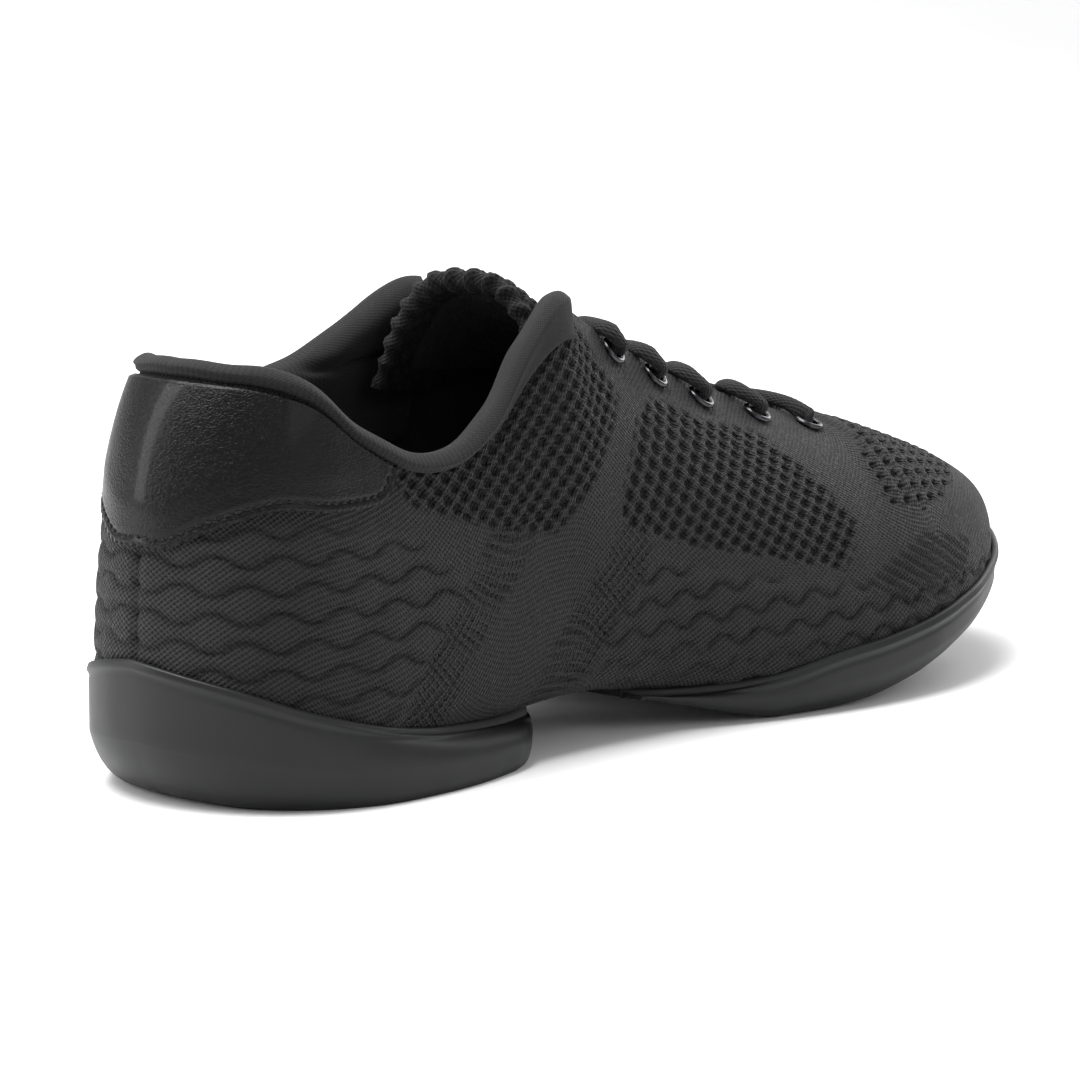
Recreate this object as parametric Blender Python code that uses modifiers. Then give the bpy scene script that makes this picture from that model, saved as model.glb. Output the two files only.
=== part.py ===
"""A right dance sneaker: knitted low-top upper on a split sole, standing empty on a floor.

The tables are in millimetres in the last's own frame: x runs forward from the heel,
y is minus on the outer (lateral) side and plus on the inner side, z is up from the floor.
"""
import math
from collections import namedtuple

import bmesh
import bpy
from mathutils import Matrix, Vector

MM = 0.001

# Driving dimensions of the last: its length, width over the ball, height at the top of the
# instep, and how high its heel stands over the floor
LAST_LENGTH = 268.0
BALL_WIDTH = 89.8
INSTEP_HEIGHT = 93.4
HEEL_HEIGHT = 8.0

# The tables are drawn for a last of 268 by 89.8 by 93.4, and follow the dimensions above
LONG = LAST_LENGTH / 268.0
BROAD = BALL_WIDTH / 89.8
TALL = INSTEP_HEIGHT / 93.4

KNIT_WALL = 2.4
GAP = 0.3
ORIGIN_X = 133.95 * LONG
ORIGIN_Y = -1.0 * BROAD

# Pieces
COUNTER_THICK = 1.1
COUNTER_END = 4.5
COUNTER_TOP = 0.955
LINING_SKIN = 0.9
LINING_PAD = 2.6
LINING_DEPTH = 0.46
LINING_ROLL = 1.9
LINING_END = 9.25
BAND_FOOT = 0.975
BAND_SPREAD = 0.03
BAND_WIDENS = 6.5
TONGUE_THICK = 4.2
TONGUE_SKEW = -0.33
TONGUE_SKEW_END = 118.0 * LONG
INSOLE_THICK = 3.0
INSOLE_INSET_BELOW = 12.6
INSOLE_INSET_ABOVE = 8.6
LACE_WIDTH = 4.2
EYELET_INNER = 2.1
EYELET_OUTER = 3.3
EYELET_THICK = 0.8
EYELET_SEAT = 0.55
EYELET_SINK = 2.0
EYELET_SIDES = 8
SOLE_LIP = 1.5
PAD_CLEARANCE = 0.65
MARGIN_SHARE = 0.38

Rib = namedtuple("Rib", "x out inn low wide spine top_x top_z dip mid half rise reach slope")

# One rib of the last in each row, from the heel's centre to the toe's tip:
# foot of the rib on the outline (x, outer half width, inner half width), underside, height of
# the widest line, place on the centre line below; top edge or ridge (x, z, how much lower the
# inner side is, middle, half gap); handles of the rib's curve (rise, reach, top slope in degrees)
RIBS = [
    Rib(0.0, 0.0, 0.0, HEEL_HEIGHT, 30.0, 22.0, 11.4, 86.2, 0.0, 0.0, 0.0, 24, 15, 52),
    Rib(2.3, 11.0, 11.0, HEEL_HEIGHT, 28.0, 22.6, 13.6, 86.0, 0.0, 0.0, 10.2, 23, 15, 55),
    Rib(8.6, 21.0, 21.0, HEEL_HEIGHT, 25.0, 24.5, 18.6, 85.0, 0.0, 0.0, 17.2, 21, 15, 62),
    Rib(20.0, 28.6, 28.6, HEEL_HEIGHT, 21.0, 30.0, 26.0, 81.8, -1.0, 0.0, 22.6, 19, 15, 71),
    Rib(34.0, 32.0, 31.8, HEEL_HEIGHT, 19.0, 39.0, 36.4, 73.0, -4.6, 0.2, 25.4, 18, 14, 78),
    Rib(49.0, 32.6, 31.6, 8.1, 18.0, 51.0, 50.0, 66.0, -8.6, 0.4, 27.2, 17, 13, 80),
    Rib(63.0, 32.2, 30.6, 8.4, 18.5, 64.0, 63.0, 65.4, -11.4, 0.6, 27.8, 17, 13, 80),
    Rib(76.0, 31.8, 29.4, 9.0, 19.0, 76.5, 75.4, 71.8, -8.4, 0.8, 27.2, 19, 15, 78),
    Rib(88.0, 31.6, 28.0, 10.0, 20.0, 88.0, 87.6, 84.4, -3.0, 0.6, 25.0, 22, 18, 74),
    Rib(100.0, 31.8, 26.8, 10.6, 21.0, 100.0, 100.4, 93.4, -0.4, 0.4, 22.2, 26, 22, 68),
    Rib(112.0, 32.4, 26.6, 10.2, 21.0, 111.0, 111.2, 90.8, 0.0, 0.2, 16.6, 27, 22, 60),
    Rib(126.0, 34.0, 27.6, 8.2, 20.0, 125.0, 123.0, 85.8, 0.0, 0.0, 12.6, 27, 22, 52),
    Rib(140.0, 37.2, 30.2, 6.6, 18.0, 139.0, 137.0, 79.4, 0.0, 0.0, 11.0, 27, 22, 45),
    Rib(154.0, 40.8, 34.0, 5.0, 16.0, 153.0, 150.5, 73.6, 0.0, 0.0, 10.0, 27, 22, 38),
    Rib(168.0, 43.8, 38.2, 4.6, 15.0, 167.0, 164.5, 69.0, 0.0, 0.0, 9.3, 27, 22, 32),
    Rib(182.0, 45.8, 41.6, 5.6, 15.5, 180.0, 178.5, 65.0, 0.0, 0.0, 9.0, 27, 22, 26),
    Rib(195.0, 46.2, 43.6, 7.8, 17.0, 192.0, 191.0, 61.4, 0.0, 0.0, 8.0, 26, 23, 19),
    Rib(203.0, 45.8, 44.2, 9.4, 18.4, 200.0, 197.6, 60.6, 0.0, 0.0, 4.8, 26, 24, 10),
    Rib(210.0, 44.7, 44.0, 10.9, 19.6, 206.0, 200.6, 60.7, 0.0, 0.0, 0.0, 25, 25, 0),
    Rib(221.0, 42.0, 43.0, 13.0, 21.6, 215.0, 209.5, 58.0, 0.0, 0.2, 0.0, 23, 25, 0),
    Rib(232.5, 37.2, 40.2, 15.6, 24.2, 224.0, 219.5, 54.2, 0.0, 0.6, 0.0, 21, 23, 0),
    Rib(243.5, 30.8, 35.8, 17.8, 26.4, 232.0, 229.0, 50.4, 0.0, 1.2, 0.0, 17, 20, 0),
    Rib(253.4, 22.6, 30.2, 19.6, 28.0, 237.5, 237.5, 46.6, 0.0, 2.0, 0.0, 14, 17, 3),
    Rib(260.6, 14.6, 23.6, 20.8, 29.0, 241.0, 243.6, 43.8, 0.0, 2.8, 0.0, 11, 13, 8),
    Rib(265.8, 6.0, 15.2, 21.4, 29.6, 243.0, 247.6, 41.8, 0.0, 3.4, 0.0, 9, 11, 13),
    Rib(268.0, -4.6, 4.6, 21.6, 29.8, 243.8, 249.2, 41.0, 0.0, 3.8, 0.0, 8, 10, 15),
]
LAST_RIB = len(RIBS) - 1
TUCK = 12.0
SIDES = (-1, 1)
MID_FOOT = (11, 17)

# Ribs that the meshes use: each row of the table, and the middle of each step on the curved ends
STEPS = [
    index / 2 for index in range(2 * LAST_RIB + 1)
    if index % 2 == 0 or not MID_FOOT[0] < index / 2 < MID_FOOT[1]
]
WALL_STEPS = [0.0, 0.16, 0.33, 0.5, 0.67, 0.82, 0.93, 1.0]
CORNER_STEPS = [-1.0, -0.66, -0.33]
UNDER_STEPS = [-2.0, -2.0 + (1.0 - MARGIN_SHARE)]
UPPER_STEPS = UNDER_STEPS + CORNER_STEPS + WALL_STEPS

Pad = namedtuple("Pad", "rib rim flare tread floor")

# Sole pads, a row for each rib: height of the rim, how far the side stands out from the last's
# outline, how far the tread's edge does, and the height of the tread
HEEL_PAD = [
    Pad(0, 29.5, 0.8, -11.5, 0.0),
    Pad(1, 27.6, 1.1, -10.2, 0.0),
    Pad(2, 24.6, 1.7, -6.8, 0.0),
    Pad(3, 19.8, 2.7, -2.2, 0.0),
    Pad(4, 15.8, 4.1, 2.2, 0.0),
    Pad(5, 13.0, 4.7, 3.5, 0.0),
    Pad(6, 11.6, 4.4, 3.2, 0.0),
    Pad(7, 10.8, 2.4, 0.8, 0.0),
    Pad(7.5, 10.6, 0.0, -2.2, 0.0),
    Pad(8, 10.6, -5.0, -7.5, 0.0),
]
FOREFOOT_PAD = [
    Pad(10.5, 9.6, -3.0, -4.5, 7.8),
    Pad(11, 9.1, -1.6, -3.4, 6.2),
    Pad(12, 8.9, 0.4, -2.8, 2.9),
    Pad(13, 10.2, 1.4, -3.4, 0.0),
    Pad(14, 12.8, 1.9, -3.8, 0.0),
    Pad(15, 14.4, 2.0, -4.0, 0.9),
    Pad(16, 16.2, 2.0, -4.2, 3.2),
    Pad(17, 17.6, 2.0, -4.4, 5.2),
    Pad(18, 18.9, 1.8, -4.6, 6.9),
    Pad(19, 21.0, 1.5, -4.8, 9.6),
    Pad(20, 23.4, 1.2, -4.8, 12.2),
    Pad(21, 25.4, 1.0, -4.8, 14.4),
    Pad(22, 26.9, 0.9, -4.8, 16.2),
    Pad(23, 27.9, 0.9, -4.8, 17.4),
    Pad(24, 28.4, 0.9, -4.8, 18.0),
    Pad(25, 28.6, 0.9, -4.8, 18.2),
]
HEEL_PAD_RIBS = [step for step in STEPS if step <= 8]
FOREFOOT_PAD_RIBS = [step for step in STEPS if step >= 10.5]

# Lower edge of the leather counter: rib, height
COUNTER_EDGE = [(0, 52.0), (1, 53.6), (2, 57.4), (3, 60.2), (4, 59.0), (4.5, 63.5)]

TongueRow = namedtuple("TongueRow", "x crown half fall power middle")
TONGUE_ROWS = [
    TongueRow(95.5, 100.0, 20.5, 26.0, 2.9, -0.8),
    TongueRow(102.0, 97.2, 20.5, 24.0, 2.8, -0.8),
    TongueRow(110.0, 92.6, 19.5, 19.0, 2.5, -0.4),
    TongueRow(119.0, 87.4, 17.0, 12.5, 2.2, 0.0),
    TongueRow(130.0, 82.4, 15.6, 9.8, 2.1, 0.0),
    TongueRow(143.0, 76.6, 15.4, 8.6, 2.0, 0.0),
    TongueRow(157.0, 71.0, 15.8, 8.2, 2.0, 0.0),
    TongueRow(171.0, 66.6, 16.0, 7.6, 2.0, 0.0),
    TongueRow(185.0, 62.2, 16.0, 7.0, 2.0, 0.0),
    TongueRow(196.0, 58.6, 14.5, 5.2, 2.0, 0.0),
    TongueRow(205.0, 55.6, 12.0, 3.6, 2.0, 0.0),
]
TONGUE = [
    TongueRow(
        row.x * LONG, row.crown * TALL, row.half * BROAD, row.fall * TALL, row.power,
        row.middle * BROAD,
    )
    for row in TONGUE_ROWS
]
TONGUE_ACROSS = 12

Eyelet = namedtuple("Eyelet", "x inset")

# Eyelet pairs from the ankle down: x of the hole, and how far it lies from the throat's edge
EYELETS = [
    Eyelet(125.0 * LONG, 5.0),
    Eyelet(139.5 * LONG, 5.8),
    Eyelet(154.5 * LONG, 7.0),
    Eyelet(173.5 * LONG, 7.8),
    Eyelet(192.5 * LONG, 8.4),
]


def place(point):
    """From the last's frame in millimetres to the part's frame in metres."""
    return Vector((point[0] - ORIGIN_X, point[1] - ORIGIN_Y, point[2])) * MM


def smooth(before, start, end, after, share):
    """A value on the smooth curve that runs through a table's rows."""
    turn_in = (end - before) / 2
    turn_out = (after - start) / 2
    return (
        start
        + share * turn_in
        + share * share * (3 * (end - start) - 2 * turn_in - turn_out)
        + share ** 3 * (2 * (start - end) + turn_in + turn_out)
    )


def row_at(side, index):
    """One row as numbers; past the heel or the toe the row is on the other side."""
    if index < 0:
        return row_at(-side, -index)
    if index > LAST_RIB:
        return row_at(-side, 2 * LAST_RIB - index)
    rib = RIBS[index]
    width = rib.out if side < 0 else rib.inn
    drop = rib.dip if side > 0 else 0.0
    top_y = rib.mid + side * rib.half
    return (
        rib.x * LONG, side * width * BROAD, rib.low, rib.wide, rib.spine * LONG,
        rib.top_x * LONG, top_y * BROAD, (rib.top_z - drop) * TALL,
        rib.mid * BROAD, rib.rise * TALL, rib.reach, rib.slope,
    )


def rib_values(side, step):
    """The rib's numbers at any place between the table's rows."""
    index = min(int(math.floor(step)), LAST_RIB - 1)
    share = step - index
    rows = [row_at(side, index + offset) for offset in (-1, 0, 1, 2)]
    return [smooth(*column, share) for column in zip(*rows)]


def bezier(points, share):
    """A point on the curve of three or four control points."""
    points = list(points)
    while len(points) > 1:
        points = [a.lerp(b, share) for a, b in zip(points, points[1:])]
    return points[0]


def surface(side, step, height):
    """The last's skin: height -2 is the centre line below, -1 the underside's edge,
    0 the widest line and 1 the top edge or the ridge."""
    x, y, low, wide, spine, top_x, top_y, top_z, mid, rise, reach, slope = rib_values(side, step)
    foot = Vector((x, y, wide))
    centre = Vector((spine, mid, low))
    inward = Vector((spine - x, mid - y, 0.0)).normalized()
    edge = Vector((x, y, low)) + inward * TUCK
    if height < -1.0:
        return edge.lerp(centre, -1.0 - height)
    if height < 0.0:
        corner_out = Vector((x, y, low + 0.38 * (wide - low)))
        corner_in = Vector((x, y, low)) + inward * TUCK * 0.35
        return bezier((edge, corner_in, corner_out, foot), 1.0 + height)
    crosses_middle = step > 17 and side * (top_y - mid) < 0.0
    top = Vector((top_x, mid if crosses_middle else top_y, top_z))
    level = Vector((top.x - x, top.y - y, 0.0)).normalized()
    lean = math.radians(slope)
    arrival = level * math.cos(lean) + Vector((0.0, 0.0, math.sin(lean)))
    return bezier((foot, foot + Vector((0.0, 0.0, rise)), top - arrival * reach, top), height)


def outward(side, step, height):
    """The skin's outward direction."""
    if height <= -1.0:
        return Vector((0.0, 0.0, -1.0))
    small = 0.02
    before = surface(side, max(step - small, 0.0), height)
    after = surface(side, min(step + small, LAST_RIB), height)
    below = surface(side, step, max(height - small, -2.0))
    above = surface(side, step, min(height + small, 1.0))
    if step <= small:
        before = Vector(surface(-side, small, height))
    if step >= LAST_RIB - small:
        after = Vector(surface(-side, LAST_RIB - small, height))
    return (after - before).cross(above - below).normalized() * (-side)


def skin(side, step, height, offset=0.0):
    """A point at a distance outside the last's skin."""
    point = surface(side, step, height)
    if offset:
        point = point + outward(side, step, height) * offset
    return point


def height_at(side, step, level):
    """Where along a rib the skin reaches a level above the floor."""
    low, high = -1.0, 1.0
    for _ in range(40):
        middle = (low + high) / 2
        if surface(side, step, middle).z < level:
            low = middle
        else:
            high = middle
    return (low + high) / 2


def table_value(rows, step, column):
    """A value between the rows of a table whose first column is the rib."""
    last = len(rows) - 1
    index = 0
    while index < last - 1 and rows[index + 1][0] <= step:
        index += 1
    start, end = rows[index], rows[index + 1]
    before = rows[index - 1] if index > 0 else start
    after = rows[index + 2] if index + 2 <= last else end
    share = (step - start[0]) / (end[0] - start[0])
    share = min(max(share, 0.0), 1.0)
    return smooth(before[column], start[column], end[column], after[column], share)


def material(name, colour, roughness, metallic=0.0):
    """A plain surface with the part's own colour."""
    made = bpy.data.materials.new(name)
    made.use_nodes = True
    shader = made.node_tree.nodes["Principled BSDF"]
    shader.inputs["Base Color"].default_value = (*colour, 1.0)
    shader.inputs["Roughness"].default_value = roughness
    shader.inputs["Metallic"].default_value = metallic
    made.diffuse_color = (*colour, 1.0)
    return made


def new_object(name, mesh, collection, finish=None):
    """Put a mesh in a collection under its own name and material."""
    made = bpy.data.objects.new(name, mesh)
    collection.objects.link(made)
    if finish:
        mesh.materials.append(finish)
    return made


def grid_mesh(name, grids, strips=(), skip=None):
    """Faces over grids of points, each grid a list of rows, and strips between point rows."""
    work = bmesh.new()
    for grid in grids:
        rows = [[work.verts.new(place(point)) for point in row] for row in grid]
        for index, (near, far) in enumerate(zip(rows, rows[1:])):
            for place_in_row in range(len(near) - 1):
                if skip and skip(index, place_in_row):
                    continue
                work.faces.new((
                    near[place_in_row], near[place_in_row + 1],
                    far[place_in_row + 1], far[place_in_row],
                ))
    for first, second in strips:
        near = [work.verts.new(place(point)) for point in first]
        far = [work.verts.new(place(point)) for point in second]
        for index in range(len(near) - 1):
            work.faces.new((near[index], near[index + 1], far[index + 1], far[index]))
    bmesh.ops.remove_doubles(work, verts=work.verts, dist=0.00002)
    bmesh.ops.dissolve_degenerate(work, edges=work.edges, dist=0.00001)
    loose = [vert for vert in work.verts if not vert.link_faces]
    bmesh.ops.delete(work, geom=loose, context="VERTS")
    bmesh.ops.recalc_face_normals(work, faces=work.faces)
    mesh = bpy.data.meshes.new(name)
    work.to_mesh(mesh)
    work.free()
    mesh.shade_smooth()
    mesh.set_sharp_from_angle(angle=math.radians(40))
    return mesh


def across(steps, heights, offset=0.0):
    """Rows that run down the outer side, under the foot and up the inner side."""
    rows = []
    for step in steps:
        outer = [skin(-1, step, height, offset) for height in reversed(heights)]
        inner = [skin(1, step, height, offset) for height in heights]
        if heights[0] == -2.0:
            inner = inner[1:]
        rows.append(outer + inner)
    return rows


def upper(collection, cutters, finish):
    """The knitted shell: open at the collar and throat, and below over both sole pads."""
    rows = across(STEPS, UPPER_STEPS)
    middle = (len(rows[0]) - 1) // 2

    def over_a_pad(row, column):
        in_heel = 1.0 <= STEPS[row] < 7.0
        in_forefoot = 12.0 <= STEPS[row] < 23.0
        return (in_heel or in_forefoot) and middle - 1 <= column <= middle

    shell = new_object("upper", grid_mesh("upper", [rows], skip=over_a_pad), collection, finish)
    wall = shell.modifiers.new("wall", "SOLIDIFY")
    wall.thickness = KNIT_WALL * MM
    wall.offset = -1.0
    wall.use_even_offset = True
    for number, cutter in enumerate(eyelet_cutters(cutters)):
        hole = shell.modifiers.new(f"eyelet_hole_{number}", "BOOLEAN")
        hole.operation = "DIFFERENCE"
        hole.object = cutter
    return shell


def throat_rib(side, x):
    """The rib whose top edge stands at this x, along the throat."""
    low, high = 9.0, 18.0
    for _ in range(40):
        middle = (low + high) / 2
        if surface(side, middle, 1.0).x < x:
            low = middle
        else:
            high = middle
    return (low + high) / 2


def eyelet_frame(side, eyelet):
    """Where an eyelet sits on the eyestay: its centre, and the way out of the shoe."""
    step = throat_rib(side, eyelet.x)
    edge = surface(side, step, 1.0)
    height = 1.0
    while (surface(side, step, height) - edge).length < eyelet.inset:
        height -= 0.005
    return surface(side, step, height), outward(side, step, height)


def on_axis(centre, axis):
    """A frame at a point with its z along an axis."""
    turn = axis.to_track_quat("Z", "Y").to_matrix().to_4x4()
    return Matrix.Translation(place(centre)) @ turn


def eyelet_cutters(collection):
    """A round cutter for each eyelet hole."""
    made = []
    for side in SIDES:
        for number, eyelet in enumerate(EYELETS, start=1):
            centre, axis = eyelet_frame(side, eyelet)
            mesh = bpy.data.meshes.new("eyelet_cutter")
            work = bmesh.new()
            radius = (EYELET_INNER + EYELET_THICK + GAP) * MM
            bmesh.ops.create_cone(
                work, cap_ends=True, segments=EYELET_SIDES, radius1=radius, radius2=radius,
                depth=12 * MM,
            )
            work.to_mesh(mesh)
            work.free()
            name = f"cutter_{'outer' if side < 0 else 'inner'}_{number}"
            cutter = new_object(name, mesh, collection)
            cutter.matrix_world = on_axis(centre, axis)
            cutter.hide_render = True
            cutter.display_type = "WIRE"
            made.append(cutter)
    return made


def eyelet_mesh():
    """One turned eyelet: a flange on the knit and a short barrel through it."""
    profile = [
        (EYELET_OUTER - 0.3, EYELET_SEAT + EYELET_THICK),
        (EYELET_INNER, EYELET_SEAT + EYELET_THICK * 0.8),
        (EYELET_INNER, -EYELET_SINK),
        (EYELET_INNER + EYELET_THICK, -EYELET_SINK),
        (EYELET_INNER + EYELET_THICK, EYELET_SEAT),
        (EYELET_OUTER, EYELET_SEAT),
    ]
    work = bmesh.new()
    rings = []
    for number in range(EYELET_SIDES):
        angle = 2 * math.pi * number / EYELET_SIDES
        ring = [
            work.verts.new((r * MM * math.cos(angle), r * MM * math.sin(angle), z * MM))
            for r, z in profile
        ]
        rings.append(ring)
    for number, ring in enumerate(rings):
        following = rings[(number + 1) % EYELET_SIDES]
        for index in range(len(profile)):
            after = (index + 1) % len(profile)
            work.faces.new((ring[index], following[index], following[after], ring[after]))
    bmesh.ops.recalc_face_normals(work, faces=work.faces)
    mesh = bpy.data.meshes.new("eyelet")
    work.to_mesh(mesh)
    work.free()
    mesh.shade_smooth()
    mesh.set_sharp_from_angle(angle=math.radians(40))
    return mesh


def eyelets(collection, finish):
    """Five pairs of eyelets, which share one mesh."""
    mesh = eyelet_mesh()
    mesh.materials.append(finish)
    for side in SIDES:
        for number, eyelet in enumerate(EYELETS, start=1):
            centre, axis = eyelet_frame(side, eyelet)
            name = f"eyelet_{'outer' if side < 0 else 'inner'}_{number}"
            made = new_object(name, mesh, collection)
            made.matrix_world = on_axis(centre, axis)


def heel_counter(collection, finish):
    """The leather overlay, between two offsets of the upper's own skin."""
    steps = [step for step in STEPS if step <= COUNTER_END]
    levels = [0.0, 0.25, 0.5, 0.75, 1.0]

    def rows_at(offset):
        rows = []
        for side in SIDES:
            for step in steps if side > 0 else reversed(steps):
                low = height_at(side, step, table_value(COUNTER_EDGE, step, 1))
                rows.append([
                    skin(side, step, low + (COUNTER_TOP - low) * level, offset)
                    for level in levels
                ])
        return rows

    inside = rows_at(GAP)
    outside = rows_at(GAP + COUNTER_THICK)
    bottoms = [[row[0] for row in rows] for rows in (inside, outside)]
    tops = [[row[-1] for row in rows] for rows in (inside, outside)]
    strips = [bottoms, tops, (inside[0], outside[0]), (inside[-1], outside[-1])]
    mesh = grid_mesh("heel_counter", [inside, outside], strips)
    return new_object("heel_counter", mesh, collection, finish)


def collar_lining(collection, finish):
    """The padded lining, which rolls over the collar's edge and shows as a band outside."""
    steps = [step for step in STEPS if step < LINING_END] + [LINING_END]
    inside_wall = -(KNIT_WALL + GAP + 0.15)
    sections = []
    for side in SIDES:
        for step in steps if side > 0 else reversed(steps[1:]):
            up = surface(side, step, 1.0) - surface(side, step, 0.97)
            up.normalize()
            out = outward(side, step, 1.0)
            top = surface(side, step, 1.0)
            low = 1.0 - LINING_DEPTH
            band = BAND_FOOT - BAND_SPREAD * max(step - BAND_WIDENS, 0.0)
            sections.append([
                skin(side, step, band, GAP),
                skin(side, step, band, GAP + LINING_SKIN),
                skin(side, step, 1.0, GAP + LINING_SKIN + 0.3),
                top + out * (-0.2) + up * (LINING_ROLL + 0.9),
                top - out * (KNIT_WALL + 1.4) + up * (LINING_ROLL + 0.6),
                top - out * (KNIT_WALL + LINING_PAD + 0.9) + up * 0.2,
                skin(side, step, 0.9, inside_wall - LINING_PAD - 0.6),
                skin(side, step, 0.76, inside_wall - LINING_PAD * 0.75),
                skin(side, step, low, inside_wall - 1.0),
                skin(side, step, low, inside_wall),
                skin(side, step, 0.76, inside_wall),
                skin(side, step, 0.9, inside_wall),
                top - out * (KNIT_WALL + GAP + 0.1) + up * (GAP + 0.1),
                top + out * GAP + up * (GAP + 0.1),
            ])
    loops = [section + section[:1] for section in sections]
    mesh = grid_mesh("collar_lining", [loops])
    work = bmesh.new()
    work.from_mesh(mesh)
    rims = [edge for edge in work.edges if edge.is_boundary]
    bmesh.ops.holes_fill(work, edges=rims, sides=0)
    bmesh.ops.triangulate(work, faces=[face for face in work.faces if len(face.verts) > 4])
    bmesh.ops.recalc_face_normals(work, faces=work.faces)
    work.to_mesh(mesh)
    work.free()
    mesh.shade_smooth()
    mesh.set_sharp_from_angle(angle=math.radians(50))
    return new_object("collar_lining", mesh, collection, finish)


def sole_profile(side, step, rows):
    """The sole's outer face on one rib, from its rim down to its tread."""
    rim = table_value(rows, step, 1)
    flare = table_value(rows, step, 2)
    tread = table_value(rows, step, 3)
    floor = max(table_value(rows, step, 4), 0.0)
    height = height_at(side, step, rim)
    lip = skin(side, step, height, GAP + SOLE_LIP)
    foot = surface(side, step, 0.0)
    face = outward(side, step, 0.0)
    face.z = 0.0
    face.normalize()
    deep = rim - floor
    side_point = Vector((foot.x, foot.y, floor + 0.46 * deep)) + face * flare
    turn_point = Vector((foot.x, foot.y, floor + 0.08 * deep)) + face * (flare * 0.75 + tread * 0.25)
    edge_point = Vector((foot.x, foot.y, floor)) + face * tread
    points = [lip.copy()]
    upper_turn = Vector((side_point.x, side_point.y, floor + 0.8 * deep))
    for share in (0.5, 1.0):
        points.append(bezier((lip, upper_turn, side_point), share))
    for share in (0.36, 0.7, 1.0):
        points.append(bezier((side_point, turn_point, edge_point), share))
    return height, points, floor


def sole_pad(name, rows, steps, collection, finish):
    """A rubber pad cupped round the last: its tread and side outside, the last's skin inside."""
    outside = []
    inside = []
    for step in steps:
        halves_out = []
        halves_in = []
        for side in SIDES:
            height, points, floor = sole_profile(side, step, rows)
            values = rib_values(side, step)
            centre = Vector((values[4], values[8], floor))
            run = points + [centre]
            heights = [height + (-1.0 - height) * share for share in (0.0, 0.25, 0.5, 0.75, 1.0)]
            heights += [-1.5, -2.0]
            skin_run = [
                skin(side, step, value, PAD_CLEARANCE if -1.0 < value < height else GAP)
                for value in heights
            ]
            halves_out.append(run)
            halves_in.append(skin_run)
        outside.append(halves_out[0] + halves_out[1][-2::-1])
        inside.append(halves_in[0] + halves_in[1][-2::-1])
    end = -1 if steps[0] == 0 else 0
    strips = [
        ([row[0] for row in outside], [row[0] for row in inside]),
        ([row[-1] for row in outside], [row[-1] for row in inside]),
        (outside[end], inside[end]),
    ]
    mesh = grid_mesh(name, [outside, inside], strips)
    return new_object(name, mesh, collection, finish)


def insole(collection, finish):
    """The padded footbed that lies on the upper's turned-in margin."""
    lower, higher = [], []
    lift = KNIT_WALL + GAP + 0.1
    for step in STEPS:
        halves = []
        for side in SIDES:
            values = rib_values(side, step)
            foot = Vector((values[0], values[1], values[2]))
            centre = Vector((values[4], values[8], values[2]))
            inward = (centre - foot).normalized()
            lower_edge = foot + inward * INSOLE_INSET_BELOW + Vector((0.0, 0.0, lift))
            upper_edge = foot + inward * INSOLE_INSET_ABOVE + Vector((0.0, 0.0, lift + INSOLE_THICK))
            below = centre + Vector((0.0, 0.0, lift))
            above = centre + Vector((0.0, 0.0, lift + INSOLE_THICK))
            halves.append((
                [lower_edge, below],
                [upper_edge, above],
            ))
        lower.append(halves[0][0] + halves[1][0][-2::-1])
        higher.append(halves[0][1] + halves[1][1][-2::-1])
    strips = [
        ([row[0] for row in lower], [row[0] for row in higher]),
        ([row[-1] for row in lower], [row[-1] for row in higher]),
    ]
    mesh = grid_mesh("insole", [lower, higher], strips)
    return new_object("insole", mesh, collection, finish)


def tongue_row(x):
    """The tongue's section at this x, as crown, half width, fall, power and middle."""
    return [table_value(TONGUE, x, column) for column in range(1, 6)]


def tongue_point(x, share, drop=0.0):
    """A point on the tongue's outer face, or a thickness below it; share runs from -1 to 1."""
    crown, half, fall, power, middle = tongue_row(x)

    def on_arch(value):
        return Vector((x, middle + half * value, crown - fall * abs(value) ** power))

    point = on_arch(share)
    along = on_arch(share + 0.02) - on_arch(share - 0.02)
    ahead_crown = tongue_row(min(x + 1.0, TONGUE[-1].x))[0]
    behind_crown = tongue_row(max(x - 1.0, TONGUE[0].x))[0]
    slope = Vector((2.0, 0.0, ahead_crown - behind_crown))
    normal = slope.cross(along).normalized()
    slant = max(TONGUE_SKEW_END - x, 0.0) / (TONGUE_SKEW_END - TONGUE[0].x)
    point.x += TONGUE_SKEW * slant * (point.y - middle)
    return point - normal * drop


def tongue(collection, finish):
    """The arched tongue, padded, under the throat and up behind it."""
    stations = [x * LONG for x in (95.5, 98.5, 102.0, 106.0, 110.0, 114.5, 119.0, 124.5)]
    stations += [row.x for row in TONGUE[4:]]
    shares = [-1 + 2 * index / TONGUE_ACROSS for index in range(TONGUE_ACROSS + 1)]
    outer, inner = [], []
    for x in stations:
        rounding = min(1.0, 0.55 + (x - TONGUE[0].x) / 6.0)
        depth = TONGUE_THICK * (1.0 if x < EYELETS[0].x else 0.8)
        shift = (1.0 - rounding) * depth * 0.5
        outer.append([tongue_point(x, share, shift) for share in shares])
        inner.append([
            tongue_point(x, share, depth * rounding * (1.0 - 0.5 * abs(share) ** 4) + shift)
            for share in shares
        ])
    strips = [
        ([row[0] for row in outer], [row[0] for row in inner]),
        ([row[-1] for row in outer], [row[-1] for row in inner]),
        (outer[0], inner[0]),
        (outer[-1], inner[-1]),
    ]
    mesh = grid_mesh("tongue", [outer, inner], strips)
    return new_object("tongue", mesh, collection, finish)


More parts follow.
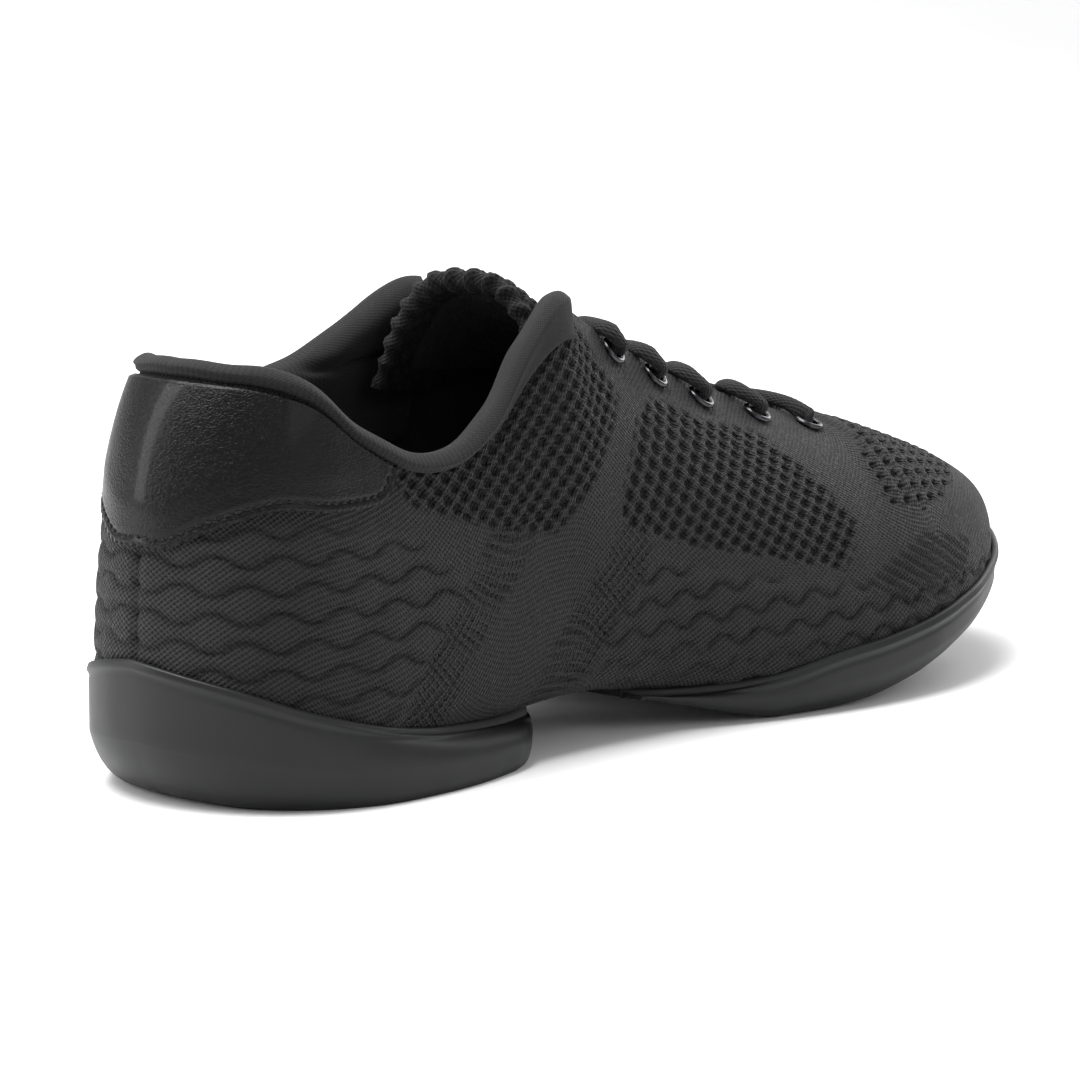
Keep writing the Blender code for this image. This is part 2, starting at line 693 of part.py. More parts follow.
def lace_run(name, points, collection):
    """A stretch of round lace through its points."""
    curve = bpy.data.curves.new(name, "CURVE")
    curve.dimensions = "3D"
    curve.bevel_depth = LACE_WIDTH / 2 * MM
    curve.bevel_resolution = 2
    curve.use_fill_caps = True
    spline = curve.splines.new("POLY")
    spline.points.add(len(points) - 1)
    for target, point in zip(spline.points, points):
        target.co = (*place(point), 1.0)
    holder = bpy.data.objects.new(name, curve)
    collection.objects.link(holder)
    depsgraph = bpy.context.evaluated_depsgraph_get()
    mesh = bpy.data.meshes.new_from_object(holder.evaluated_get(depsgraph))
    bpy.data.objects.remove(holder)
    work = bmesh.new()
    work.from_mesh(mesh)
    bmesh.ops.remove_doubles(work, verts=work.verts, dist=0.00005)
    bmesh.ops.recalc_face_normals(work, faces=work.faces)
    work.to_mesh(mesh)
    work.free()
    return mesh


def over_throat(side, x):
    """A lace's centre where it passes over the throat's edge."""
    step = throat_rib(side, x)
    lift = EYELET_THICK + GAP + LACE_WIDTH / 2 + 0.5
    return surface(side, step, 0.985) + outward(side, step, 0.985) * lift


def lace_leg(side, eyelet, meeting_x, start_x):
    """A leg that comes out of the throat on one side, crosses and ends over an eyelet."""
    hole, axis = eyelet_frame(side, eyelet)
    radius = LACE_WIDTH / 2
    end = hole + axis * (radius + EYELET_THICK + GAP * 2 + 0.4)
    over = over_throat(side, eyelet.x - 2.0)
    crown = tongue_row(meeting_x)[0]
    centre = Vector((meeting_x, 0.0, crown + radius + 1.3))
    start_side = -side
    edge = surface(start_side, throat_rib(start_side, start_x), 1.0)
    gap_point = Vector((start_x, edge.y * 0.35, edge.z))
    gap_point.z = tongue_point(start_x, gap_point.y / tongue_row(start_x)[1]).z + radius + 0.7
    route = [gap_point, centre, over, end]
    points = []
    for index in range(len(route) - 1):
        before = route[max(index - 1, 0)]
        after = route[min(index + 2, len(route) - 1)]
        for share in (0.0, 0.5):
            points.append(Vector([
                smooth(before[axis_number], route[index][axis_number],
                       route[index + 1][axis_number], after[axis_number], share)
                for axis_number in range(3)
            ]))
    points.append(route[-1])
    return points


def laces(collection, cutters, finish):
    """A crossing between each two pairs of eyelets, and a bar in front of the last pair."""
    for number, (higher, lower) in enumerate(zip(EYELETS, EYELETS[1:]), start=1):
        meeting = (higher.x + lower.x) / 2 - 0.5
        start = lower.x - 3.0
        legs = [
            lace_run("lace_leg", lace_leg(side, higher, meeting, start), collection)
            for side in SIDES
        ]
        crossing = new_object(f"lace_crossing_{number}", legs[0], collection, finish)
        other = new_object(f"lace_leg_{number}", legs[1], cutters)
        join = crossing.modifiers.new("join", "BOOLEAN")
        join.operation = "UNION"
        join.object = other
        other.hide_render = True
        other.display_type = "WIRE"
    lowest = EYELETS[-1]
    points = []
    for side in SIDES:
        hole, axis = eyelet_frame(side, lowest)
        end = hole + axis * (LACE_WIDTH / 2 + EYELET_THICK + GAP * 2 + 0.4)
        over = over_throat(side, lowest.x)
        points.append((end, over))
    crown = Vector((lowest.x, 0.0, max(points[0][1].z, points[1][1].z) + 0.6))
    route = [points[0][0], points[0][1], crown, points[1][1], points[1][0]]
    new_object("lace_bar", lace_run("lace_bar", route, collection), collection, finish)


def build():
    """Clear the scene and make each piece in the shoe's collection."""
    for leftover in list(bpy.data.objects):
        bpy.data.objects.remove(leftover, do_unlink=True)
    shoe = bpy.data.collections.new("dance_sneaker")
    cutters = bpy.data.collections.new("cutters")
    for made in (shoe, cutters):
        bpy.context.scene.collection.children.link(made)

    knit = material("knit", (0.030, 0.030, 0.031), 0.85)
    leather = material("counter_leather", (0.012, 0.012, 0.013), 0.3)
    lining = material("lining_jersey", (0.040, 0.040, 0.041), 0.9)
    tongue_knit = material("tongue_knit", (0.028, 0.028, 0.029), 0.85)
    rubber = material("sole_rubber", (0.032, 0.032, 0.033), 0.55)
    footbed = material("footbed", (0.035, 0.035, 0.036), 0.9)
    lace_weave = material("lace_weave", (0.034, 0.034, 0.035), 0.8)
    metal = material("eyelet_metal", (0.05, 0.05, 0.052), 0.25, 1.0)

    upper(shoe, cutters, knit)
    heel_counter(shoe, leather)
    collar_lining(shoe, lining)
    tongue(shoe, tongue_knit)
    insole(shoe, footbed)
    sole_pad("heel_sole", HEEL_PAD, HEEL_PAD_RIBS, shoe, rubber)
    sole_pad("forefoot_sole", FOREFOOT_PAD, FOREFOOT_PAD_RIBS, shoe, rubber)
    eyelets(shoe, metal)
    laces(shoe, cutters, lace_weave)


build()
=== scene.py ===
"""The looks of a black dance sneaker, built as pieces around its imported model.

The tables and the functions of the last are in millimetres, in the last's own frame: x runs
forward from the heel, y is minus on the outer side and plus on the inner side, z is up.
"""
import math
from collections import namedtuple

import bmesh
import bpy
import numpy as np
from bpy.props import FloatProperty, FloatVectorProperty, PointerProperty
from bpy.types import Operator, Panel, PropertyGroup
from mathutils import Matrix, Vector


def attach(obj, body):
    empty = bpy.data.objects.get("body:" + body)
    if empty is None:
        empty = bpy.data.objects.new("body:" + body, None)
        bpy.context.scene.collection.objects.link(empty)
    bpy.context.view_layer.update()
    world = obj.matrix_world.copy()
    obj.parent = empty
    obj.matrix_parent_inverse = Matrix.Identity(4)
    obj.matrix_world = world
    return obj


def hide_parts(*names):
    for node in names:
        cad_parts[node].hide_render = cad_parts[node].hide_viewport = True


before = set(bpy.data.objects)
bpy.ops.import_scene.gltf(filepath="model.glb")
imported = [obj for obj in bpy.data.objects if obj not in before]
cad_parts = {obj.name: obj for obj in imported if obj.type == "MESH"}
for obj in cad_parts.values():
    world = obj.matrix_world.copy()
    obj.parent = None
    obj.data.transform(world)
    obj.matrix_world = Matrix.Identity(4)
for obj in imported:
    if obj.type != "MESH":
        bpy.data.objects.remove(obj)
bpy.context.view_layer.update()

bl_info = {
    "name": "Dance Sneaker",
    "version": (1, 0, 0),
    "blender": (4, 5, 0),
    "location": "View3D > Sidebar > Sneaker",
    "description": "Builds a knitted split-sole dance sneaker piece by piece",
    "category": "Add Mesh",
}

MM = 0.001
IN_MM = 1000.0
SIDES = (-1, 1)
UP = np.array((0.0, 0.0, 1.0))

# The last and the shoe's main sizes
KNIT_WALL = 2.4
GAP = 0.3
ORIGIN_X = 133.95
ORIGIN_Y = -1.0
TUCK = 12.0
THROAT_END = 18.0

Rib = namedtuple("Rib", "x out inn low wide spine top_x top_z dip mid half rise reach slope")

# One rib of the last in each row, from the heel's centre to the toe's tip:
# foot of the rib on the outline (x, outer half width, inner half width), underside, height of
# the widest line, place on the centre line below; top edge or ridge (x, z, how much lower the
# inner side is, middle, half gap); handles of the rib's curve (rise, reach, top slope in degrees)
RIBS = [
    Rib(0.0, 0.0, 0.0, 8.0, 30.0, 22.0, 11.4, 86.2, 0.0, 0.0, 0.0, 24, 15, 52),
    Rib(2.3, 11.0, 11.0, 8.0, 28.0, 22.6, 13.6, 86.0, 0.0, 0.0, 10.2, 23, 15, 55),
    Rib(8.6, 21.0, 21.0, 8.0, 25.0, 24.5, 18.6, 85.0, 0.0, 0.0, 17.2, 21, 15, 62),
    Rib(20.0, 28.6, 28.6, 8.0, 21.0, 30.0, 26.0, 81.8, -1.0, 0.0, 22.6, 19, 15, 71),
    Rib(34.0, 32.0, 31.8, 8.0, 19.0, 39.0, 36.4, 73.0, -4.6, 0.2, 25.4, 18, 14, 78),
    Rib(49.0, 32.6, 31.6, 8.1, 18.0, 51.0, 50.0, 66.0, -8.6, 0.4, 27.2, 17, 13, 80),
    Rib(63.0, 32.2, 30.6, 8.4, 18.5, 64.0, 63.0, 65.4, -11.4, 0.6, 27.8, 17, 13, 80),
    Rib(76.0, 31.8, 29.4, 9.0, 19.0, 76.5, 75.4, 71.8, -8.4, 0.8, 27.2, 19, 15, 78),
    Rib(88.0, 31.6, 28.0, 10.0, 20.0, 88.0, 87.6, 84.4, -3.0, 0.6, 25.0, 22, 18, 74),
    Rib(100.0, 31.8, 26.8, 10.6, 21.0, 100.0, 100.4, 93.4, -0.4, 0.4, 22.2, 26, 22, 68),
    Rib(112.0, 32.4, 26.6, 10.2, 21.0, 111.0, 111.2, 90.8, 0.0, 0.2, 16.6, 27, 22, 60),
    Rib(126.0, 34.0, 27.6, 8.2, 20.0, 125.0, 123.0, 85.8, 0.0, 0.0, 12.6, 27, 22, 52),
    Rib(140.0, 37.2, 30.2, 6.6, 18.0, 139.0, 137.0, 79.4, 0.0, 0.0, 11.0, 27, 22, 45),
    Rib(154.0, 40.8, 34.0, 5.0, 16.0, 153.0, 150.5, 73.6, 0.0, 0.0, 10.0, 27, 22, 38),
    Rib(168.0, 43.8, 38.2, 4.6, 15.0, 167.0, 164.5, 69.0, 0.0, 0.0, 9.3, 27, 22, 32),
    Rib(182.0, 45.8, 41.6, 5.6, 15.5, 180.0, 178.5, 65.0, 0.0, 0.0, 9.0, 27, 22, 26),
    Rib(195.0, 46.2, 43.6, 7.8, 17.0, 192.0, 191.0, 61.4, 0.0, 0.0, 8.0, 26, 23, 19),
    Rib(203.0, 45.8, 44.2, 9.4, 18.4, 200.0, 197.6, 60.6, 0.0, 0.0, 4.8, 26, 24, 10),
    Rib(210.0, 44.7, 44.0, 10.9, 19.6, 206.0, 200.6, 60.7, 0.0, 0.0, 0.0, 25, 25, 0),
    Rib(221.0, 42.0, 43.0, 13.0, 21.6, 215.0, 209.5, 58.0, 0.0, 0.2, 0.0, 23, 25, 0),
    Rib(232.5, 37.2, 40.2, 15.6, 24.2, 224.0, 219.5, 54.2, 0.0, 0.6, 0.0, 21, 23, 0),
    Rib(243.5, 30.8, 35.8, 17.8, 26.4, 232.0, 229.0, 50.4, 0.0, 1.2, 0.0, 17, 20, 0),
    Rib(253.4, 22.6, 30.2, 19.6, 28.0, 237.5, 237.5, 46.6, 0.0, 2.0, 0.0, 14, 17, 3),
    Rib(260.6, 14.6, 23.6, 20.8, 29.0, 241.0, 243.6, 43.8, 0.0, 2.8, 0.0, 11, 13, 8),
    Rib(265.8, 6.0, 15.2, 21.4, 29.6, 243.0, 247.6, 41.8, 0.0, 3.4, 0.0, 9, 11, 13),
    Rib(268.0, -4.6, 4.6, 21.6, 29.8, 243.8, 249.2, 41.0, 0.0, 3.8, 0.0, 8, 10, 15),
]
LAST_RIB = len(RIBS) - 1

Pad = namedtuple("Pad", "rib rim flare tread floor")

# Sole pads, a row for each rib: height of the rim, how far the side stands out from the last's
# outline, how far the tread's edge does, and the height of the tread
HEEL_PAD = [
    Pad(0, 29.5, 0.8, -11.5, 0.0),
    Pad(1, 27.6, 1.1, -10.2, 0.0),
    Pad(2, 24.6, 1.7, -6.8, 0.0),
    Pad(3, 19.8, 2.7, -2.2, 0.0),
    Pad(4, 15.8, 4.1, 2.2, 0.0),
    Pad(5, 13.0, 4.7, 3.5, 0.0),
    Pad(6, 11.6, 4.4, 3.2, 0.0),
    Pad(7, 10.8, 2.4, 0.8, 0.0),
    Pad(7.5, 10.6, 0.0, -2.2, 0.0),
    Pad(8, 10.6, -5.0, -7.5, 0.0),
]
FOREFOOT_PAD = [
    Pad(10.5, 9.6, -3.0, -4.5, 7.8),
    Pad(11, 9.1, -1.6, -3.4, 6.2),
    Pad(12, 8.9, 0.4, -2.8, 2.9),
    Pad(13, 10.2, 1.4, -3.4, 0.0),
    Pad(14, 12.8, 1.9, -3.8, 0.0),
    Pad(15, 14.4, 2.0, -4.0, 0.9),
    Pad(16, 16.2, 2.0, -4.2, 3.2),
    Pad(17, 17.6, 2.0, -4.4, 5.2),
    Pad(18, 18.9, 1.8, -4.6, 6.9),
    Pad(19, 21.0, 1.5, -4.8, 9.6),
    Pad(20, 23.4, 1.2, -4.8, 12.2),
    Pad(21, 25.4, 1.0, -4.8, 14.4),
    Pad(22, 26.9, 0.9, -4.8, 16.2),
    Pad(23, 27.9, 0.9, -4.8, 17.4),
    Pad(24, 28.4, 0.9, -4.8, 18.0),
    Pad(25, 28.6, 0.9, -4.8, 18.2),
]
SOLE_LIP = 1.5
RIM_BEAD = 0.35
RIM_ROUND = 0.6

# Lower edge of the leather counter: rib, height
COUNTER_EDGE = [
    (0.0, 52.6), (0.6, 52.5), (1.2, 55.4), (1.75, 58.0), (2.5, 60.1), (3.3, 59.1), (4.1, 59.0),
    (4.45, 60.2), (4.75, 65.2),
]
COUNTER_THICK = 1.1
COUNTER_TOP = 0.955
STITCH_INSET = 1.9
CUT_EDGE_PALER = 11.0
STITCH_PITCH = 2.1

LACE_FLAT = 0.62
LACE_CLEAR = 0.7

LINING_SKIN = 0.9
LINING_PAD = 2.6
LINING_DEPTH = 0.46
LINING_ROLL = 1.9
LINING_END = 9.25
INNER_CREASE_HEIGHT = 79.0
END_BULGE = 1.2
BAND_FOOT = 0.975
BAND_SPREAD = 0.03
BAND_WIDENS = 6.5

TongueRow = namedtuple("TongueRow", "x crown half fall power middle")
TONGUE = [
    TongueRow(95.5, 100.0, 20.5, 26.0, 2.9, -0.8),
    TongueRow(102.0, 97.2, 20.5, 24.0, 2.8, -0.8),
    TongueRow(110.0, 92.6, 19.5, 19.0, 2.5, -0.4),
    TongueRow(119.0, 87.4, 17.0, 12.5, 2.2, 0.0),
    TongueRow(130.0, 82.4, 15.6, 9.8, 2.1, 0.0),
    TongueRow(143.0, 76.6, 15.4, 8.6, 2.0, 0.0),
    TongueRow(157.0, 71.0, 15.8, 8.2, 2.0, 0.0),
    TongueRow(171.0, 66.6, 16.0, 7.6, 2.0, 0.0),
    TongueRow(185.0, 62.2, 16.0, 7.0, 2.0, 0.0),
    TongueRow(196.0, 58.6, 14.5, 5.2, 2.0, 0.0),
    TongueRow(205.0, 55.6, 12.0, 3.6, 2.0, 0.0),
]
TONGUE_THICK = 4.2
TONGUE_SKEW = -0.33
TONGUE_HEM = 5.0
TONGUE_SIDE_HEM = 0.9
TONGUE_EDGE_BULGE = np.array((0.0, 0.9, 0.0))
TONGUE_SKEW_END = 118.0

Eyelet = namedtuple("Eyelet", "x inset")

# Eyelet pairs from the ankle down: x of the hole, and how far it lies from the throat's edge
EYELETS = [
    Eyelet(125.0, 5.0),
    Eyelet(139.5, 5.8),
    Eyelet(154.5, 7.0),
    Eyelet(173.5, 7.8),
    Eyelet(192.5, 8.4),
]
EYELET_SEAT = 0.55
EYELET_SINK = 2.0

INSOLE_THICK = 3.0
INSOLE_INSET_BELOW = 12.6
INSOLE_INSET_ABOVE = 8.6

# The knit's areas, as outlines seen from the side: x and z on the last
ANKLE_MESH = [
    (43, 66), (63, 68), (80, 76), (91, 87), (106, 93), (113, 84), (119, 73), (103, 57),
    (91, 48), (76, 50), (50, 58),
]
VAMP_MESH = [
    (123, 67), (133, 71), (150, 64), (167, 60), (174, 51), (180, 40), (178, 36), (173, 31),
    (164, 33), (147, 37), (133, 40), (120, 44), (112, 47), (113, 54), (118, 61),
]
TOE_MESH = [
    (213, 70), (226, 70), (238, 52), (234, 46), (222, 43), (204, 40), (194, 43), (195, 50),
    (204, 57),
]
HEEL_SCALES = [
    (-8, 53), (10, 57), (27, 57), (51, 50), (64, 40), (52, 22), (44, 6), (-8, 6),
]
BALL_SCALES = [
    (96, 33), (121, 38), (149, 31), (173, 27), (201, 25), (240, 30), (240, 10), (100, 2),
]
TOE_CHEVRON = [(176, 27), (202, 36), (222, 32), (214, 22), (192, 20)]
PORE_LINES = [
    [(80, 50), (68, 38), (56, 26), (48, 14)],
    [(114, 42), (100, 27), (86, 12)],
]
PORE_SPREAD = 5.5
PORE_PITCH = 2.6
PORES_ROUND_EYELET = 5.4
PORED_EYELETS = 3
TOE_RIDGE_CLOSED = 0.85
TOE_ROW_LEAN = 0.15
ROUND_CENTRE = 14.0
TOE_ROUND = 58.0
VAMP_ROUND = 46.0
CHEVRON_PITCH = 3.1

# Ribs between which the knit is made in finer steps, and the size of a step there and elsewhere
MESH_FROM = 4.0
MESH_TO = 20.5
MESH_STEP = 0.84
PLAIN_STEP = 1.4
SHOWN_ABOVE = -0.6
AREA_SOFT = 2.0
HOLE_CORE = 0.17
HOLE_EDGE = 0.34
TOE_RIDGE_LIFT = 0.4
CHEVRON_LIFT = 0.55

# Puffed rows of the knit: height of a row, how far its edges swing, and the swing's length at
# the heel and at the ball
ROW_HEIGHT = 5.6
ROW_SWING = 1.45
ROW_SOFT = 5.0
ROW_LEVEL = 0.4
HEEL_ROW_LENGTH = 14.0
BALL_ROW_LENGTH = 10.0
BALL_ROW_RISE = 0.06
HEEL_ROWS_END = 90.0
BACK_SEAM_TOP = 54.0
BACK_SEAM_WIDTH = 0.8
BACK_SEAM_DEPTH = 0.7
EYELET_HOLE = 2.5

# Soft troughs: x at the level below, lean, width, depth and the height where the trough ends
Crease = namedtuple("Crease", "x lean width depth top")
CREASE_LEVEL = 30.0
CREASE_FOOT = (8.0, 24.0)
CREASE_FADE = 16.0
FLEX_CREASES = [
    Crease(186.0, 0.30, 4.5, 0.40, 56.0),
    Crease(98.0, -0.50, 7.0, 0.55, 62.0),
    Crease(30.0, 0.60, 6.0, 0.40, 56.0),
]

# The tread's channels under the pads, as wavy lines and as rings round a spot under the ball
TREAD_PITCH = 6.5
TREAD_WAVE = 1.6
TREAD_WAVE_RUN = 4.2
TREAD_CHANNEL = (0.02, 0.26)
HEEL_TREAD_DEPTH = 0.7
HEEL_TREAD = (42, 34, 27)
BALL_TREAD_DEPTH = 0.6
BALL_SPOT = (166.0, -1.0)
BALL_SPOT_RADIUS = 28.0
BALL_RING_PITCH = 7.0
BALL_TREAD_X = (128.0, 246.0)
BALL_TREAD_HALF = 36.0
BALL_TREAD_NARROWS = (205.0, 0.45)
HEEL_PAD_END = 8.0
FOREFOOT_PAD_START = 10.5

EYELET_BORE = 2.1
EYELET_FLANGE = 0.68
EYELET_ROUND = 0.7
EYELET_OUTSIDE = 2.75

# How far the lace lies below an eyelet, and its share of the full width there
LACE_START_BELOW = 2.9
LACE_END_BELOW = 1.6
LACE_NECK_ABOVE = 0.6
LACE_HIDDEN = 0.5
LACE_NECK = 0.62

Softbox = namedtuple("Softbox", "name spot target size power")
LIGHTS = (
    Softbox("overhead", (-0.10, 0.30, 1.20), (0.0, 0.0, 0.03), (1.2, 0.9), 26.0),
    Softbox("heel_strip", (-0.95, 0.75, 0.55), (-0.1, 0.0, 0.06), (0.35, 0.9), 9.0),
    Softbox("rear_top", (-0.60, 0.05, 1.30), (0.0, 0.0, 0.06), (0.6, 0.6), 10.0),
    Softbox("camera_fill", (0.05, -1.35, 0.80), (0.0, 0.0, 0.04), (0.9, 0.7), 3.5),
    Softbox("toe_fill", (1.1, 0.1, 0.6), (0.1, 0.0, 0.04), (0.6, 0.7), 5.0),
)
WORLD_LIGHT = 0.5
FLOOR_COLOUR = (0.86, 0.86, 0.865)
FLOOR_NEAR = -2.5
FLOOR_FAR = 1.2
FLOOR_BEND = 0.8
FLOOR_TOP = 3.0
FLOOR_HALF = 3.0


def smooth(before, start, end, after, share):
    """A value on the smooth curve that runs through a table's rows."""
    turn_in = (end - before) / 2
    turn_out = (after - start) / 2
    return (
        start
        + share * turn_in
        + share ** 2 * (3 * (end - start) - 2 * turn_in - turn_out)
        + share ** 3 * (2 * (start - end) + turn_in + turn_out)
    )


def ramp(low, high, values):
    """0 up to low, 1 from high, and a soft step between them."""
    share = np.clip((values - low) / (high - low), 0.0, 1.0)
    return share * share * (3 - 2 * share)


def unit(vectors):
    """The same directions, one long."""
    return vectors / np.maximum(np.linalg.norm(vectors, axis=-1, keepdims=True), 1e-9)


def bezier(points, share):
    """Points on the curve of three or four control points."""
    points = list(points)
    while len(points) > 1:
        points = [a + (b - a) * share for a, b in zip(points, points[1:])]
    return points[0]


def row_at(side, index):
    """One rib as numbers; past the heel or the toe the rib is on the other side."""
    if index < 0:
        return row_at(-side, -index)
    if index > LAST_RIB:
        return row_at(-side, 2 * LAST_RIB - index)
    rib = RIBS[index]
    width = rib.out if side < 0 else rib.inn
    drop = rib.dip if side > 0 else 0.0
    return (
        rib.x, side * width, rib.low, rib.wide, rib.spine, rib.top_x,
        rib.mid + side * rib.half, rib.top_z - drop, rib.mid, rib.rise, rib.reach, rib.slope,
    )


ROWS = {
    side: np.array([row_at(side, index) for index in range(-2, LAST_RIB + 3)])
    for side in SIDES
}


def rib_values(side, steps):
    """The ribs' numbers at any places between the table's rows."""
    index = np.clip(np.floor(steps).astype(int), -1, LAST_RIB)
    rows = ROWS[side]
    near = [rows[index + offset] for offset in (1, 2, 3, 4)]
    return np.moveaxis(smooth(*near, (steps - index)[..., None]), -1, 0)


def surface(side, steps, heights):
    """The last's skin: height -2 is the centre line below, -1 the underside's edge,
    0 the widest line and 1 the top edge or the ridge."""
    steps, heights = np.broadcast_arrays(np.asarray(steps, float), np.asarray(heights, float))
    values = rib_values(side, steps)
    x, y, low, wide, spine, top_x, top_y, top_z, mid, rise, reach, slope = values
    top_y = np.where((steps > 17) & (side * (top_y - mid) < 0.0), mid, top_y)
    flat = np.zeros_like(x)
    foot = np.stack((x, y, wide), -1)
    centre = np.stack((spine, mid, low), -1)
    inward = unit(np.stack((spine - x, mid - y, flat), -1))
    below = np.stack((x, y, low), -1)
    edge = below + inward * TUCK
    corner_out = np.stack((x, y, low + 0.38 * (wide - low)), -1)
    top = np.stack((top_x, top_y, top_z), -1)
    lean = np.radians(slope)[..., None]
    level = unit(np.stack((top_x - x, top_y - y, flat), -1))
    arrival = level * np.cos(lean) + np.array((0.0, 0.0, 1.0)) * np.sin(lean)
    share = heights[..., None]
    under = edge + (centre - edge) * (-1.0 - share)
    corner = bezier(
        (edge, below + inward * TUCK * 0.35, corner_out, foot), np.clip(1.0 + share, 0.0, 1.0)
    )
    risen = foot + np.stack((flat, flat, rise), -1)
    wall = bezier((foot, risen, top - arrival * reach[..., None], top), np.clip(share, 0.0, 1.0))
    return np.where(share < -1.0, under, np.where(share < 0.0, corner, wall))


def outward(side, steps, heights):
    """The skin's outward directions."""
    steps, heights = np.broadcast_arrays(np.asarray(steps, float), np.asarray(heights, float))
    small = 0.02
    along = surface(side, steps + small, heights) - surface(side, steps - small, heights)
    lower = np.maximum(heights - small, -1.0)
    higher = np.clip(heights + small, -0.98, 1.0)
    rise = surface(side, steps, higher) - surface(side, steps, lower)
    found = unit(np.cross(along, rise)) * -side
    return np.where(heights[..., None] <= -1.0, np.array((0.0, 0.0, -1.0)), found)


def skin(side, steps, heights, offset=0.0):
    """Points at a distance outside the last's skin."""
    return surface(side, steps, heights) + outward(side, steps, heights) * offset


def height_at(side, steps, level):
    """Where along each rib the skin reaches a level above the floor."""
    low = np.full(np.shape(steps), -1.0)
    high = np.full(np.shape(steps), 1.0)
    for _ in range(30):
        middle = (low + high) / 2
        short = surface(side, steps, middle)[..., 2] < level
        low = np.where(short, middle, low)
        high = np.where(short, high, middle)
    return (low + high) / 2


def table_value(rows, places, column):
    """Values between the rows of a table whose first column is the place."""
    table = np.array(rows, float)
    last = len(table) - 1
    index = np.clip(np.searchsorted(table[:, 0], places, side="right") - 1, 0, last - 1)
    share = (places - table[index, 0]) / (table[index + 1, 0] - table[index, 0])
    values = table[:, column]
    before = np.where(index > 0, values[np.maximum(index - 1, 0)], values[index])
    after = np.where(index + 2 <= last, values[np.minimum(index + 2, last)], values[index + 1])
    share = np.clip(share, 0.0, 1.0)
    return smooth(before, values[index], values[index + 1], after, share)


def even_steps(start, end, spacing):
    """Ribs from start to end that stand evenly along the outline."""
    fine = np.linspace(start, end, 3000)
    line = surface(-1, fine, 0.35)
    run = run_length(line)
    count = max(int(round(run[-1] / spacing)), 2)
    return np.interp(np.linspace(0.0, run[-1], count + 1), run, fine)


def run_length(points, axis=0):
    """How far along a line of points each one is."""
    parts = np.linalg.norm(np.diff(points, axis=axis), axis=-1)
    start = np.zeros_like(np.take(parts, [0], axis=axis))
    return np.concatenate((start, np.cumsum(parts, axis=axis)), axis=axis)


def throat_rib(side, x):
    """The rib whose top edge stands at this x, along the throat."""
    fine = np.linspace(9.0, 18.0, 1200)
    return float(np.interp(x, surface(side, fine, 1.0)[:, 0], fine))


def eyelet_frame(side, eyelet):
    """Where an eyelet sits on the eyestay: its centre, and the way out of the shoe."""
    step = throat_rib(side, eyelet.x)
    heights = np.linspace(1.0, 0.3, 1200)
    line = surface(side, step, heights)
    distance = np.linalg.norm(line - line[0], axis=-1)
    height = float(np.interp(eyelet.inset, distance, heights))
    return surface(side, step, height), outward(side, step, height)


def place(points):
    """From the last's frame in millimetres to the part's frame in metres."""
    return (np.asarray(points, float) - (ORIGIN_X, ORIGIN_Y, 0.0)) * MM


def inside(outline, x, z, soft):
    """1 inside an outline and 0 outside it, with a soft edge this wide."""
    crossings = np.zeros(np.shape(x), int)
    nearest = np.full(np.shape(x), 1e9)
    for (ax, az), (bx, bz) in zip(outline, outline[1:] + outline[:1]):
        rises = (az > z) != (bz > z)
        span = bz - az if bz != az else 1e-9
        crossings += rises & (x < (bx - ax) * (z - az) / span + ax)
        nearest = np.minimum(nearest, to_segment((ax, az), (bx, bz), x, z))
    signed = np.where(crossings % 2 == 1, nearest, -nearest)
    return ramp(-soft / 2, soft / 2, signed)


def to_segment(start, end, x, z):
    """Distance from a straight stretch."""
    (ax, az), (bx, bz) = start, end
    share = ((x - ax) * (bx - ax) + (z - az) * (bz - az)) / ((bx - ax) ** 2 + (bz - az) ** 2)
    share = np.clip(share, 0.0, 1.0)
    return np.hypot(x - ax - share * (bx - ax), z - az - share * (bz - az))


def fraction(values):
    """What is left over the whole number below."""
    return values - np.floor(values)


def cells(across, along):
    """Distance from the nearest hole of a staggered mesh, in pitches."""
    first = np.hypot(fraction(across) - 0.5, fraction(along) - 0.5)
    second = np.hypot(fraction(across + 0.5) - 0.5, fraction(along + 0.5) - 0.5)
    return np.minimum(first, second)


